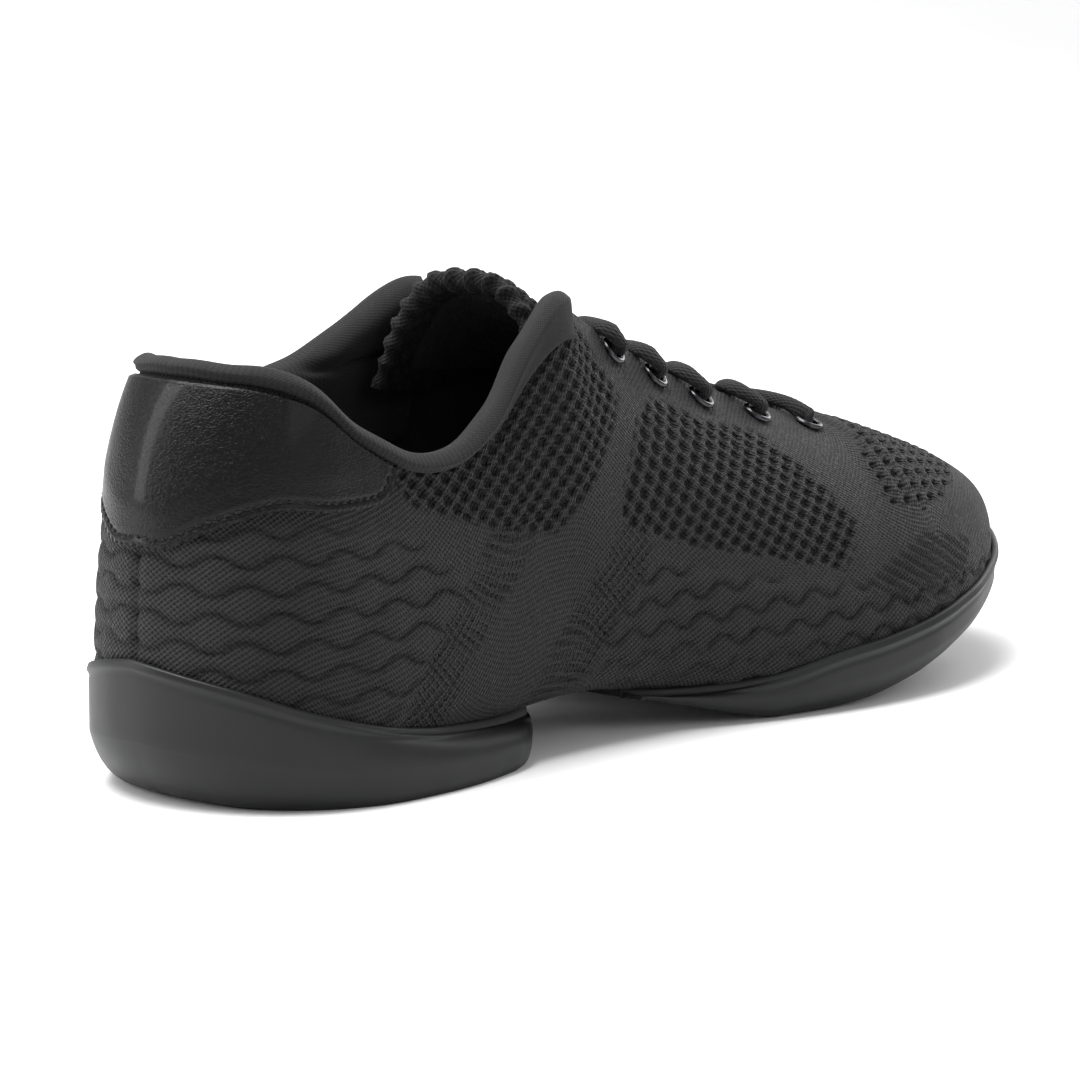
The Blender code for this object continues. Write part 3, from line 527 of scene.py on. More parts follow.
class Form:
    """Grids of points that become one mesh, with the values that its materials read."""

    def __init__(self):
        self.points = []
        self.faces = []
        self.slots = []
        self.values = {}
        self.count = 0

    def add(self, grid, slot=0, wrap=False, keep=None, **values):
        """One grid of points; keep says which of its faces are made."""
        rows, columns = grid.shape[:2]
        index = np.arange(rows * columns).reshape(rows, columns) + self.count
        if wrap:
            index = np.concatenate((index, index[:, :1]), axis=1)
        quads = np.stack((index[:-1, :-1], index[:-1, 1:], index[1:, 1:], index[1:, :-1]), -1)
        quads = quads[keep] if keep is not None else quads.reshape(-1, 4)
        self.points.append(grid.reshape(-1, 3))
        self.faces.append(quads)
        self.slots.append(np.full(len(quads), slot))
        for name, value in values.items():
            flat = np.asarray(value, float).reshape(rows * columns, -1)
            self.values.setdefault(name, {})[self.count] = flat
        self.count += rows * columns

    def to_piece(self, name, materials, merge=0.02, angle=50.0):
        """The mesh as an object, with near points merged."""
        mesh = bpy.data.meshes.new(name)
        points = place(np.concatenate(self.points))
        mesh.from_pydata(points.tolist(), [], np.concatenate(self.faces).tolist())
        mesh.polygons.foreach_set("material_index", np.concatenate(self.slots).astype(int))
        for value_name, parts in self.values.items():
            width = next(iter(parts.values())).shape[1]
            filled = np.zeros((self.count, width))
            for start, part in parts.items():
                filled[start:start + len(part)] = part
            kind = "FLOAT" if width == 1 else "FLOAT_VECTOR"
            layer = mesh.attributes.new(value_name, kind, "POINT")
            layer.data.foreach_set("value" if width == 1 else "vector", filled.ravel())
        work = bmesh.new()
        work.from_mesh(mesh)
        bmesh.ops.remove_doubles(work, verts=work.verts, dist=merge * MM)
        bmesh.ops.dissolve_degenerate(work, edges=work.edges, dist=merge * MM / 4)
        loose = [vert for vert in work.verts if not vert.link_faces]
        bmesh.ops.delete(work, geom=loose, context="VERTS")
        bmesh.ops.recalc_face_normals(work, faces=work.faces)
        work.to_mesh(mesh)
        work.free()
        for finish in materials:
            mesh.materials.append(finish)
        mesh.shade_smooth()
        mesh.set_sharp_from_angle(angle=math.radians(angle))
        piece = bpy.data.objects.new(name, mesh)
        bpy.context.scene.collection.objects.link(piece)
        return piece


def settle(piece, slot, *nodes):
    """Seat a piece on the shoe's one body, in place of its solids."""
    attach(piece, "root")
    if nodes:
        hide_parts(*nodes)
    return piece


class Net:
    """Adds nodes to a shader tree and joins them."""

    def __init__(self, tree):
        self.tree = tree

    def put(self, target, source):
        """Join a socket, or set a plain value."""
        if isinstance(source, bpy.types.NodeSocket):
            self.tree.links.new(source, target)
        else:
            target.default_value = source

    def add(self, kind, inputs=(), **settings):
        """A node with its settings, and its inputs by name or number."""
        node = self.tree.nodes.new(kind)
        for name, value in settings.items():
            setattr(node, name, value)
        for key, source in dict(inputs).items():
            self.put(node.inputs[key], source)
        return node

    def math(self, operation, *terms):
        """One sum of plain numbers or sockets."""
        node = self.add("ShaderNodeMath", enumerate(terms), operation=operation)
        return node.outputs[0]

    def vector(self, operation, *terms):
        """One sum of vectors; the length and such come out as a value."""
        node = self.add("ShaderNodeVectorMath", enumerate(terms), operation=operation)
        return node.outputs["Value" if operation == "LENGTH" else "Vector"]

    def attribute(self, name, output="Fac"):
        """A value that the mesh carries."""
        return self.add("ShaderNodeAttribute", attribute_name=name).outputs[output]

    def remap(self, value, low, high, to_low, to_high):
        """A value moved from one range to another, and held in it."""
        node = self.add("ShaderNodeMapRange", enumerate((value, low, high, to_low, to_high)))
        return node.outputs[0]

    def noise(self, vector, scale, detail=3.0):
        """Soft noise between 0 and 1."""
        inputs = {"Vector": vector, "Scale": scale, "Detail": detail}
        return self.add("ShaderNodeTexNoise", inputs).outputs["Fac"]

    def tint(self, colour, factor):
        """A colour made lighter or darker by a value."""
        scaled = self.add("ShaderNodeVectorMath", {0: colour, 3: factor}, operation="SCALE")
        return scaled.outputs[0]

    def bump(self, height, distance, strength=1.0, normal=None):
        """A normal from a height between 0 and 1 that is this many millimetres deep."""
        inputs = {"Height": height, "Distance": distance * MM, "Strength": strength}
        if normal is not None:
            inputs["Normal"] = normal
        return self.add("ShaderNodeBump", inputs).outputs[0]

    def group(self, name, **inputs):
        """A shared effect, placed with its own values."""
        node = self.add("ShaderNodeGroup", node_tree=bpy.data.node_groups[name])
        for key, source in inputs.items():
            self.put(node.inputs[key.replace("_", " ")], source)
        return node


def new_group(name, inputs, outputs):
    """An empty shader group with named sockets, and its two ends."""
    tree = bpy.data.node_groups.new(name, "ShaderNodeTree")
    for socket, kind, default in inputs:
        made = tree.interface.new_socket(name=socket, in_out="INPUT", socket_type=kind)
        if default is not None:
            made.default_value = default
    for socket, kind in outputs:
        tree.interface.new_socket(name=socket, in_out="OUTPUT", socket_type=kind)
    net = Net(tree)
    return net, net.add("NodeGroupInput"), net.add("NodeGroupOutput")


NUMBER = "NodeSocketFloat"
VECTOR = "NodeSocketVector"


def knit_cells_group():
    """Staggered holes between raised yarns: Yarn is 1 on the yarn and 0 in a hole."""
    inputs = [
        ("Place", VECTOR, None), ("Width", NUMBER, 1.0), ("Height", NUMBER, 1.0),
        ("Hole", NUMBER, 0.2), ("Edge", NUMBER, 0.15),
    ]
    net, start, end = new_group("Knit Cells", inputs, [("Yarn", NUMBER)])
    pitch = net.add(
        "ShaderNodeCombineXYZ", {0: start.outputs["Width"], 1: start.outputs["Height"], 2: 1.0}
    ).outputs[0]
    scaled = net.vector("DIVIDE", start.outputs["Place"], pitch)
    distances = []
    for shift in (0.0, 0.5):
        moved = net.vector("ADD", scaled, (shift, shift, 0.0))
        centred = net.vector("SUBTRACT", net.vector("FRACTION", moved), (0.5, 0.5, 0.0))
        flat = net.vector("MULTIPLY", centred, (1.0, 1.0, 0.0))
        distances.append(net.vector("LENGTH", flat))
    nearest = net.math("MINIMUM", *distances)
    outer = net.math("ADD", start.outputs["Hole"], start.outputs["Edge"])
    net.put(end.inputs["Yarn"], net.remap(nearest, start.outputs["Hole"], outer, 0.0, 1.0))


def fibre_group():
    """Uneven tone and roughness of yarn and cloth: values around 1."""
    inputs = [("Scale", NUMBER, 900.0), ("Amount", NUMBER, 0.3)]
    net, start, end = new_group("Fibre", inputs, [("Tone", NUMBER), ("Fuzz", NUMBER)])
    where = net.add("ShaderNodeTexCoord").outputs["Object"]
    fine = net.noise(where, start.outputs["Scale"], 2.0)
    broad = net.noise(where, 45.0, 2.0)
    both = net.math("ADD", net.math("MULTIPLY", fine, 0.75), net.math("MULTIPLY", broad, 0.25))
    centred = net.math("MULTIPLY", net.math("SUBTRACT", both, 0.5), start.outputs["Amount"])
    net.put(end.inputs["Tone"], net.math("MULTIPLY_ADD", centred, 4.0, 1.0))
    net.put(end.inputs["Fuzz"], fine)


def shader_of(name, colour, **constants):
    """A material with a Principled BSDF: its net and its shader."""
    made = bpy.data.materials.new(name)
    made.use_nodes = True
    shader = made.node_tree.nodes["Principled BSDF"]
    shader.inputs["Base Color"].default_value = (*colour, 1.0)
    made.diffuse_color = (*colour, 1.0)
    for key, value in constants.items():
        shader.inputs[key.replace("_", " ")].default_value = value
    return made, Net(made.node_tree), shader


def dress(made, net, shader, **sockets):
    """Feed a material's sockets, and hand the material over."""
    for key, source in sockets.items():
        net.put(shader.inputs[key.replace("_", " ")], source)
    return made


def knit_material(settings):
    """Fine stockinette, with open mesh, pores and raised rows where the upper has them, and painted
    highlights and shade in its colour.
    """
    colour = tuple(settings.knit_colour)
    made, net, shader = shader_of(
        "upper_knit", colour, Roughness=0.75, Specular_IOR_Level=0.22, Sheen_Weight=0.03,
    )
    where = net.attribute("knit_place", "Vector")
    fine = net.group("Knit Cells", Place=where, Width=1.4, Height=1.15, Hole=0.12, Edge=0.3)
    mesh_cells = net.group(
        "Knit Cells", Place=net.attribute("mesh_place", "Vector"), Hole=0.16, Edge=0.13,
        Width=settings.mesh_width * IN_MM, Height=settings.mesh_height * IN_MM,
    )
    pores = net.group(
        "Knit Cells", Place=where, Width=PORE_PITCH, Height=PORE_PITCH, Hole=0.15, Edge=0.12,
    )
    fibre = net.group("Fibre", Scale=1500.0, Amount=0.35)
    mesh_area = net.attribute("open_mesh")
    pore_area = net.attribute("pores")
    relief = net.attribute("relief")
    hole = net.math("MULTIPLY", net.math("SUBTRACT", 1.0, mesh_cells.outputs[0]), mesh_area)
    pore = net.math("MULTIPLY", net.math("SUBTRACT", 1.0, pores.outputs[0]), pore_area)
    open_part = net.math("MAXIMUM", hole, pore)
    # painted highlight and shade: the yarns' tops are painted lighter and the gaps between them
    # darker
    tone = net.remap(fine.outputs[0], 0.0, 1.0, 0.15, 1.75)
    # painted shade: the open mesh's holes and the pores are painted almost black
    tone = net.math("MULTIPLY", tone, net.remap(open_part, 0.0, 1.0, 1.0, 0.04))
    # painted shade: the knit is painted darker in the grooves between the rows, between the toe's
    # ridges, in the chevrons and along the back seam
    tone = net.math("MULTIPLY", tone, net.remap(relief, 0.0, 1.0, 0.25, 1.15))
    tone = net.math("MULTIPLY", tone, fibre.outputs["Tone"])
    net.put(shader.inputs["Base Color"], net.tint(colour, tone))
    low = net.bump(net.math("SUBTRACT", 1.0, open_part), 0.9)
    return dress(
        made, net, shader,
        Normal=net.bump(fine.outputs[0], 0.42, 1.0, low),
        Roughness=net.remap(fibre.outputs["Fuzz"], 0.3, 0.7, 0.5, 0.9),
    )


def jersey_material(settings):
    """Smooth foam-backed jersey, with ribs that run over the collar's roll."""
    colour = tuple(settings.lining_colour)
    made, net, shader = shader_of(
        "lining_jersey_cloth", colour, Roughness=0.85, Specular_IOR_Level=0.18, Sheen_Weight=0.05,
    )
    where = net.attribute("cloth_place", "Vector")
    loops = net.group("Knit Cells", Place=where, Width=0.85, Height=0.75, Hole=0.12, Edge=0.34)
    fibre = net.group("Fibre", Scale=1800.0, Amount=0.25)
    along = net.add("ShaderNodeSeparateXYZ", {0: where}).outputs[0]
    wave = net.math("SINE", net.math("MULTIPLY", along, 2 * math.pi / 1.3))
    ribs = net.math("MULTIPLY", wave, net.attribute("ribbed"))
    height = net.math("MULTIPLY_ADD", ribs, 0.35, loops.outputs[0])
    # painted shade: the hollows between the loops and the ribs are painted darker than their tops
    tone = net.remap(height, -0.3, 1.3, 0.7, 1.15)
    tone = net.math("MULTIPLY", tone, fibre.outputs["Tone"])
    return dress(
        made, net, shader,
        Base_Color=net.tint(colour, tone),
        Normal=net.bump(height, 0.12, 0.8),
        Roughness=net.remap(fibre.outputs["Fuzz"], 0.3, 0.7, 0.75, 0.95),
    )


def tongue_material(settings):
    """Open honeycomb knit of the tongue's outer face and rim, with painted highlights and shade in
    its colour.
    """
    colour = tuple(settings.knit_colour)
    made, net, shader = shader_of(
        "tongue_mesh_knit", colour, Roughness=0.75, Specular_IOR_Level=0.22, Sheen_Weight=0.03,
    )
    where = net.attribute("knit_place", "Vector")
    fine = net.group("Knit Cells", Place=where, Width=1.4, Height=1.15, Hole=0.12, Edge=0.3)
    fibre = net.group("Fibre", Scale=1500.0, Amount=0.35)
    relief = net.attribute("relief")
    # painted highlight and shade: the yarns' tops are painted lighter and the gaps darker, and the
    # honeycomb's holes and the rim's hollows are painted darker
    tone = net.math(
        "MULTIPLY", net.remap(fine.outputs[0], 0.0, 1.0, 0.3, 1.7),
        net.remap(relief, 0.0, 1.0, 0.3, 1.2),
    )
    tone = net.math("MULTIPLY", tone, fibre.outputs["Tone"])
    return dress(
        made, net, shader,
        Base_Color=net.tint(colour, tone),
        Normal=net.bump(fine.outputs[0], 0.2, 0.9),
        Roughness=net.remap(fibre.outputs["Fuzz"], 0.3, 0.7, 0.7, 0.95),
    )


def leather_material(settings):
    """Glossy pebbled leather, its grain longer along the shoe."""
    colour = tuple(settings.leather_colour)
    made, net, shader = shader_of(
        "counter_grain_leather", colour, Roughness=0.34,
        Specular_IOR_Level=0.13, Coat_Weight=0.1, Coat_Roughness=0.13,
    )
    where = net.attribute("cloth_place", "Vector")
    stretched = net.vector("MULTIPLY", where, (0.62, 1.0, 1.0))
    warp = net.add("ShaderNodeTexNoise", {"Vector": stretched, "Scale": 0.9, "Detail": 2.0})
    shifted = net.vector("ADD", stretched, net.vector("SCALE", warp.outputs["Color"]))
    pebbles = net.add(
        "ShaderNodeTexVoronoi", {"Vector": shifted, "Scale": 2.9}, feature="SMOOTH_F1"
    ).outputs["Distance"]
    pores = net.noise(where, 6.0, 2.0)
    height = net.math("MULTIPLY_ADD", pores, 0.25, net.math("SUBTRACT", 1.0, pebbles))
    # painted shade: the hollows between the pebbles are painted darker than their tops
    tone = net.remap(height, 0.3, 1.2, 0.75, 1.1)
    return dress(
        made, net, shader,
        Base_Color=net.tint(colour, tone),
        Normal=net.bump(height, 0.2, 0.85),
        Roughness=net.remap(height, 0.3, 1.2, 0.42, 0.26),
    )


def cut_edge_material(settings):
    """The leather's cut edge, paler than its face."""
    colour = tuple(value * CUT_EDGE_PALER for value in settings.leather_colour)
    made, net, shader = shader_of("leather_cut_edge", colour, Roughness=0.55)
    fibre = net.group("Fibre", Scale=2200.0, Amount=0.4)
    return dress(
        made, net, shader,
        Base_Color=net.tint(colour, fibre.outputs["Tone"]),
        Normal=net.bump(fibre.outputs["Fuzz"], 0.05, 0.6),
    )


def rubber_material(settings):
    """Satin moulded rubber with a faint bloom and a fine grain."""
    colour = tuple(settings.rubber_colour)
    made, net, shader = shader_of(
        "sole_satin_rubber", colour, Roughness=0.5, Specular_IOR_Level=0.28,
    )
    where = net.add("ShaderNodeTexCoord").outputs["Object"]
    bloom = net.noise(where, 60.0, 4.0)
    grain = net.noise(where, 2600.0, 2.0)
    tone = net.remap(bloom, 0.3, 0.7, 0.86, 1.14)
    return dress(
        made, net, shader,
        Base_Color=net.tint(colour, tone),
        Roughness=net.remap(bloom, 0.3, 0.7, 0.42, 0.55),
        Normal=net.bump(grain, 0.03, 0.5),
    )


def lace_material(settings):
    """Braided lace, a little fuzzy."""
    colour = tuple(settings.lace_colour)
    made, net, shader = shader_of(
        "lace_braid", colour, Roughness=0.8, Specular_IOR_Level=0.2, Sheen_Weight=0.04,
    )
    where = net.attribute("cloth_place", "Vector")
    braid = net.group("Knit Cells", Place=where, Width=1.6, Height=1.2, Hole=0.1, Edge=0.36)
    fibre = net.group("Fibre", Scale=2000.0, Amount=0.4)
    # painted shade: the hollows of the braid are painted darker than its strands' tops
    tone = net.math(
        "MULTIPLY", net.remap(braid.outputs[0], 0.0, 1.0, 0.4, 1.4), fibre.outputs["Tone"]
    )
    return dress(
        made, net, shader,
        Base_Color=net.tint(colour, tone),
        Normal=net.bump(braid.outputs[0], 0.32, 1.0),
        Roughness=net.remap(fibre.outputs["Fuzz"], 0.3, 0.7, 0.75, 0.95),
    )


def metal_material(settings):
    """Black nickel of the eyelets, lightly rubbed."""
    colour = tuple(settings.eyelet_colour)
    made, net, shader = shader_of("eyelet_black_nickel", colour, Metallic=1.0, Roughness=0.22)
    where = net.add("ShaderNodeTexCoord").outputs["Object"]
    rubbed = net.noise(where, 700.0, 3.0)
    tone = net.remap(rubbed, 0.3, 0.7, 0.8, 1.3)
    return dress(
        made, net, shader,
        Base_Color=net.tint(colour, tone),
        Roughness=net.remap(rubbed, 0.3, 0.7, 0.16, 0.32),
    )


def footbed_material(settings):
    """Brushed fabric over the footbed's foam."""
    colour = tuple(settings.lining_colour)
    made, net, shader = shader_of("footbed_cloth", colour, Roughness=0.9, Sheen_Weight=0.08)
    where = net.attribute("cloth_place", "Vector")
    weave = net.group("Knit Cells", Place=where, Width=1.0, Height=1.0, Hole=0.1, Edge=0.36)
    fibre = net.group("Fibre", Scale=1400.0, Amount=0.4)
    # painted shade: the hollows of the weave are painted a little darker than its threads
    tone = net.math(
        "MULTIPLY", net.remap(weave.outputs[0], 0.0, 1.0, 0.7, 1.05), fibre.outputs["Tone"]
    )
    return dress(
        made, net, shader,
        Base_Color=net.tint(colour, tone),
        Normal=net.bump(weave.outputs[0], 0.12, 0.8),
    )


MATERIALS = {
    "knit": knit_material,
    "jersey": jersey_material,
    "tongue": tongue_material,
    "leather": leather_material,
    "cut_edge": cut_edge_material,
    "rubber": rubber_material,
    "lace": lace_material,
    "metal": metal_material,
    "footbed": footbed_material,
}
GROUPS = {"Knit Cells": knit_cells_group, "Fibre": fibre_group}
made_materials = {}


def finish(name):
    """The shoe's material of this name, made once."""
    for group_name, make_group in GROUPS.items():
        if group_name not in bpy.data.node_groups:
            make_group()
    if name not in made_materials:
        made_materials[name] = MATERIALS[name](bpy.context.scene.sneaker)
    return made_materials[name]


class SneakerSettings(PropertyGroup):
    """Sizes and colours of the sneaker."""

    mesh_width: FloatProperty(
        name="Mesh Width", description="Width of one cell of the open mesh",
        default=0.0048, min=0.002, max=0.008, unit="LENGTH",
    )
    mesh_height: FloatProperty(
        name="Mesh Height", description="Height of one cell of the open mesh",
        default=0.0043, min=0.002, max=0.008, unit="LENGTH",
    )
    mesh_depth: FloatProperty(
        name="Mesh Depth", description="How deep the open mesh's cells are",
        default=0.0008, min=0, max=0.0015, unit="LENGTH",
    )
    row_depth: FloatProperty(
        name="Row Depth", description="How far the knitted rows stand out",
        default=0.001, min=0, max=0.0015, unit="LENGTH",
    )
    lace_width: FloatProperty(
        name="Lace Width", description="Width of the lace",
        default=0.0048, min=0.003, max=0.006, unit="LENGTH",
    )
    knit_colour: FloatVectorProperty(
        name="Knit", description="Colour of the knitted upper", subtype="COLOR",
        default=(0.0092, 0.0092, 0.0095), min=0.0, max=1.0,
    )
    lining_colour: FloatVectorProperty(
        name="Lining", description="Colour of the collar's lining", subtype="COLOR",
        default=(0.0130, 0.0130, 0.0137), min=0.0, max=1.0,
    )
    leather_colour: FloatVectorProperty(
        name="Leather", description="Colour of the heel counter", subtype="COLOR",
        default=(0.0022, 0.0022, 0.0024), min=0.0, max=1.0,
    )
    rubber_colour: FloatVectorProperty(
        name="Rubber", description="Colour of the sole", subtype="COLOR",
        default=(0.0073, 0.0076, 0.0083), min=0.0, max=1.0,
    )
    lace_colour: FloatVectorProperty(
        name="Lace", description="Colour of the lace", subtype="COLOR",
        default=(0.0105, 0.0105, 0.0108), min=0.0, max=1.0,
    )
    eyelet_colour: FloatVectorProperty(
        name="Eyelets", description="Colour of the eyelets' metal", subtype="COLOR",
        default=(0.05, 0.05, 0.053), min=0.0, max=1.0,
    )


def knit_values(side, steps, heights, settings):
    """What the knit does at each place: its coordinates, areas, raised rows and the painted shade
    in its grooves.
    """
    mesh_width = settings.mesh_width * IN_MM
    points = surface(side, steps[:, None], heights[None, :])
    line = sum(run_length(surface(each, steps, 0.35)) for each in SIDES) / 2
    along = np.broadcast_to(line[:, None], points.shape[:2])
    rib = run_length(points, axis=1)
    down = rib[:, -1:] - rib
    x, z = points[..., 0], points[..., 2]
    shown = np.broadcast_to(heights[None, :] > SHOWN_ABOVE, x.shape)
    toe, ankle, vamp = (
        inside(outline, x, z, AREA_SOFT) * shown for outline in (TOE_MESH, ANKLE_MESH, VAMP_MESH)
    )
    mesh_area = np.maximum(np.maximum(ankle, vamp), toe)
    middle = np.interp(np.maximum(steps, THROAT_END), steps, points[:, -1, 1])[:, None]
    turned = np.arctan2(np.abs(points[..., 1] - middle), z - ROUND_CENTRE)
    turned = turned * np.where(toe > 0.0, TOE_ROUND, VAMP_ROUND)
    run = x + TOE_ROW_LEAN * turned * (toe > 0.0)
    upright = (ankle > 0.0)[..., None]
    flat = np.zeros_like(down)
    mesh_place = np.where(upright, np.stack((x, z, flat), -1), np.stack((run, turned, flat), -1))
    near_line = np.min([
        to_segment(start, end, x, z)
        for line_points in PORE_LINES for start, end in zip(line_points, line_points[1:])
    ], axis=0)
    pores = (1.0 - ramp(PORE_SPREAD - 1.5, PORE_SPREAD + 1.5, near_line)) * shown
    for eyelet in EYELETS[:PORED_EYELETS]:
        gap = np.linalg.norm(points - eyelet_frame(side, eyelet)[0], axis=-1)
        pores = np.maximum(pores, 1.0 - ramp(PORES_ROUND_EYELET - 0.8, PORES_ROUND_EYELET, gap))
    pores = pores * (1.0 - mesh_area)
    rows = np.maximum(
        inside(HEEL_SCALES, x, z, ROW_SOFT), inside(BALL_SCALES, x, z, ROW_SOFT)
    )
    rows = rows * (1.0 - pores) * shown
    at_heel = x < HEEL_ROWS_END
    level = np.where(at_heel, z, z - BALL_ROW_RISE * x)
    length = np.where(at_heel, HEEL_ROW_LENGTH, BALL_ROW_LENGTH)
    swing = np.sin(2 * math.pi * np.where(at_heel, along, x) / length)
    swing = swing * np.cos(math.pi * level / ROW_HEIGHT)
    puff = np.sqrt(np.abs(np.sin(math.pi * (level + ROW_SWING * swing) / ROW_HEIGHT)))
    ridge = 0.5 + 0.5 * np.cos(2 * math.pi * run / mesh_width)
    mesh_area = mesh_area * (1.0 - TOE_RIDGE_CLOSED * toe * ridge)
    chevron_area = inside(TOE_CHEVRON, x, z, AREA_SOFT)
    chevron = 0.5 + 0.5 * np.cos(2 * math.pi * (x * 0.6 + z * 1.1) / CHEVRON_PITCH)
    holes = 1.0 - ramp(HOLE_CORE, HOLE_EDGE, cells(
        mesh_place[..., 0] / mesh_width, mesh_place[..., 1] / (settings.mesh_height * IN_MM)
    ))
    seam = np.exp(-(along / BACK_SEAM_WIDTH) ** 2)
    seam = seam * (1.0 - ramp(BACK_SEAM_TOP - 2.0, BACK_SEAM_TOP, z)) * shown
    lift = (
        rows * (puff - ROW_LEVEL) * settings.row_depth * IN_MM
        - mesh_area * holes * settings.mesh_depth * IN_MM
        + toe * (ridge - 0.5) * TOE_RIDGE_LIFT
        + chevron_area * (chevron - 0.5) * CHEVRON_LIFT
        - seam * BACK_SEAM_DEPTH
    )
    # painted shade: this mask is 1 where nothing is painted; lower values paint the grooves between
    # the puffed rows, the troughs between the toe's ridges and the chevrons' grooves darker, and
    # the back seam darker too
    relief = 1.0 - rows * (1.0 - ramp(0.2, 0.9, puff)) * 0.9
    relief = relief - toe * (1.0 - ridge) * 0.3 - chevron_area * (1.0 - chevron) * 0.7 - seam * 0.8
    where = np.stack((along, down, flat), -1)
    return points, lift, {
        "knit_place": where, "mesh_place": mesh_place, "open_mesh": mesh_area, "pores": pores,
        "relief": np.clip(relief, 0.0, 1.0), "cloth_place": where,
    }


def flex_creases(points):
    """Soft troughs where the forefoot bends and the quarter gives, in the shoe's own sizes."""
    x, z = points[..., 0], points[..., 2]
    depth = np.zeros_like(x)
    for crease in FLEX_CREASES:
        line = crease.x + crease.lean * (z - CREASE_LEVEL)
        across = np.exp(-((x - line) / crease.width) ** 2)
        ends = 1.0 - ramp(crease.top - CREASE_FADE, crease.top, z)
        depth -= crease.depth * across * ramp(*CREASE_FOOT, z) * ends
    return depth


class SNEAKER_OT_upper(Operator):
    """Knit the upper, with its jersey inside."""

    bl_idname = "sneaker.upper"
    bl_label = "Upper"

    def execute(self, context):
        settings = context.scene.sneaker
        steps = np.concatenate((
            even_steps(0.0, MESH_FROM, PLAIN_STEP)[:-1],
            even_steps(MESH_FROM, THROAT_END, MESH_STEP)[:-1],
            even_steps(THROAT_END, MESH_TO, MESH_STEP)[:-1],
            even_steps(MESH_TO, LAST_RIB, PLAIN_STEP),
        ))
        heights = np.concatenate((
            np.linspace(-2.0, -1.0, 4)[:-1], np.linspace(-1.0, 0.0, 14)[:-1],
            np.linspace(0.0, 1.0, 118),
        ))
        inner_heights = np.concatenate((
            np.linspace(-2.0, -1.0, 3)[:-1], np.linspace(-1.0, 1.0, 12)
        ))
        form = Form()
        for side in SIDES:
            points, lift, values = knit_values(side, steps, heights, settings)
            out = outward(side, steps[:, None], heights[None, :])
            ridge = steps >= THROAT_END
            both = outward(-1, steps, 1.0) + outward(1, steps, 1.0)
            out[ridge, -1] = unit(both)[ridge]
            lift = lift + flex_creases(points)
            fade = 1.0 - ramp(0.985, 1.0, heights)[None, :] * (steps < THROAT_END)[:, None]
            grid = points + out * (lift * fade)[..., None]
            centres = (grid[:-1, :-1] + grid[1:, 1:]) / 2
            keep = np.ones(centres.shape[:2], bool)
            for eyelet in EYELETS:
                hole, _ = eyelet_frame(side, eyelet)
                keep &= np.linalg.norm(centres - hole, axis=-1) > EYELET_HOLE
            form.add(grid, keep=keep, **values)
            lining = skin(side, steps[:, None], inner_heights[None, :], -KNIT_WALL)
            lining[ridge, -1] = surface(side, steps, 1.0)[ridge] - unit(both)[ridge] * KNIT_WALL
            form.add(lining, slot=1, cloth_place=lining, ribbed=np.zeros(lining.shape[:2]))
            open_steps = steps <= THROAT_END
            edge, edge_below = grid[open_steps, -1], lining[open_steps, -1]
            bulge = 0.6 * (1.0 - ramp(THROAT_END - 0.6, THROAT_END, steps[open_steps]))[:, None]
            middle = (edge + edge_below) / 2 + (edge - grid[open_steps, -2]) * bulge
            values_at = {key: value[open_steps, -1] for key, value in values.items()}
            rim = np.stack((edge, middle, edge_below), 1)
            form.add(rim, **{
                key: np.stack((value, value, value), 1) for key, value in values_at.items()
            })
        piece = form.to_piece("knitted_upper", [finish("knit"), finish("jersey")])
        settle(piece, "knit", "upper")
        return {"FINISHED"}


def counter_relief(distance, from_front):
    """How the leather's face stands at a distance from its stitched edge."""
    edge = 1.0 - (1.0 - np.clip(distance / 0.9, 0.0, 1.0)) ** 2
    seam = np.exp(-((distance - STITCH_INSET) / 0.55) ** 2)
    swell = ramp(STITCH_INSET, 9.0, distance) * ramp(0.0, 12.0, from_front)
    return 0.35 + 0.65 * edge - 0.32 * seam + 0.45 * swell


class SNEAKER_OT_counter(Operator):
    """Lay the glossy leather counter round the heel and stitch it down."""

    bl_idname = "sneaker.counter"
    bl_label = "Heel Counter"

    def execute(self, context):
        steps = even_steps(0.0, COUNTER_EDGE[-1][0], 0.6)
        shares = np.concatenate((np.linspace(0.0, 0.12, 9)[:-1], np.linspace(0.12, 1.0, 52)))
        form = Form()
        seam = {}
        for side in SIDES:
            places = counter_places(side, steps, shares)
            base, out = surface(side, *places), outward(side, *places)
            edge_line = base[:, 0]
            distance = np.min(
                np.linalg.norm(base[:, :, None] - edge_line[None, None, ::3], axis=-1), axis=-1
            )
            front = np.linalg.norm(base - base[-1, -1], axis=-1)
            rise = counter_relief(distance, front)
            top = 1.0 - 0.5 * ramp(0.965, 1.0, shares)[None, :]
            grid = base + out * (GAP * 0.6 + COUNTER_THICK * rise * top)[..., None]
            line = run_length(base[:, 20])
            where = np.stack((
                line[:, None] + np.zeros(distance.shape), base[..., 2], np.zeros(distance.shape)
            ), -1)
            form.add(grid, cloth_place=where)
            under = base + out * 0.05
            lip = np.stack((grid[:, 0], under[:, 0]), 1)
            form.add(lip, slot=1, cloth_place=np.zeros(lip.shape))
            back = np.stack((grid[:, -1], under[:, -1]), 1)
            form.add(back, cloth_place=np.zeros(back.shape))
            front_edge = np.stack((grid[-1], under[-1]), 1)
            form.add(front_edge, slot=1, cloth_place=np.zeros(front_edge.shape))
            form.add(under, cloth_place=np.zeros(under.shape))
            seam[side] = seam_line(grid, distance, out)
        piece = form.to_piece("leather_counter", [finish("leather"), finish("cut_edge")])
        settle(piece, "counter_leather", "heel_counter")
        line = np.concatenate((seam[-1][0][::-1], seam[1][0][1:]))
        out = np.concatenate((seam[-1][1][::-1], seam[1][1][1:]))
        stitches = stitch_row("counter_stitches", line, out, STITCH_PITCH)
        settle(stitches, "counter_leather")
        return {"FINISHED"}


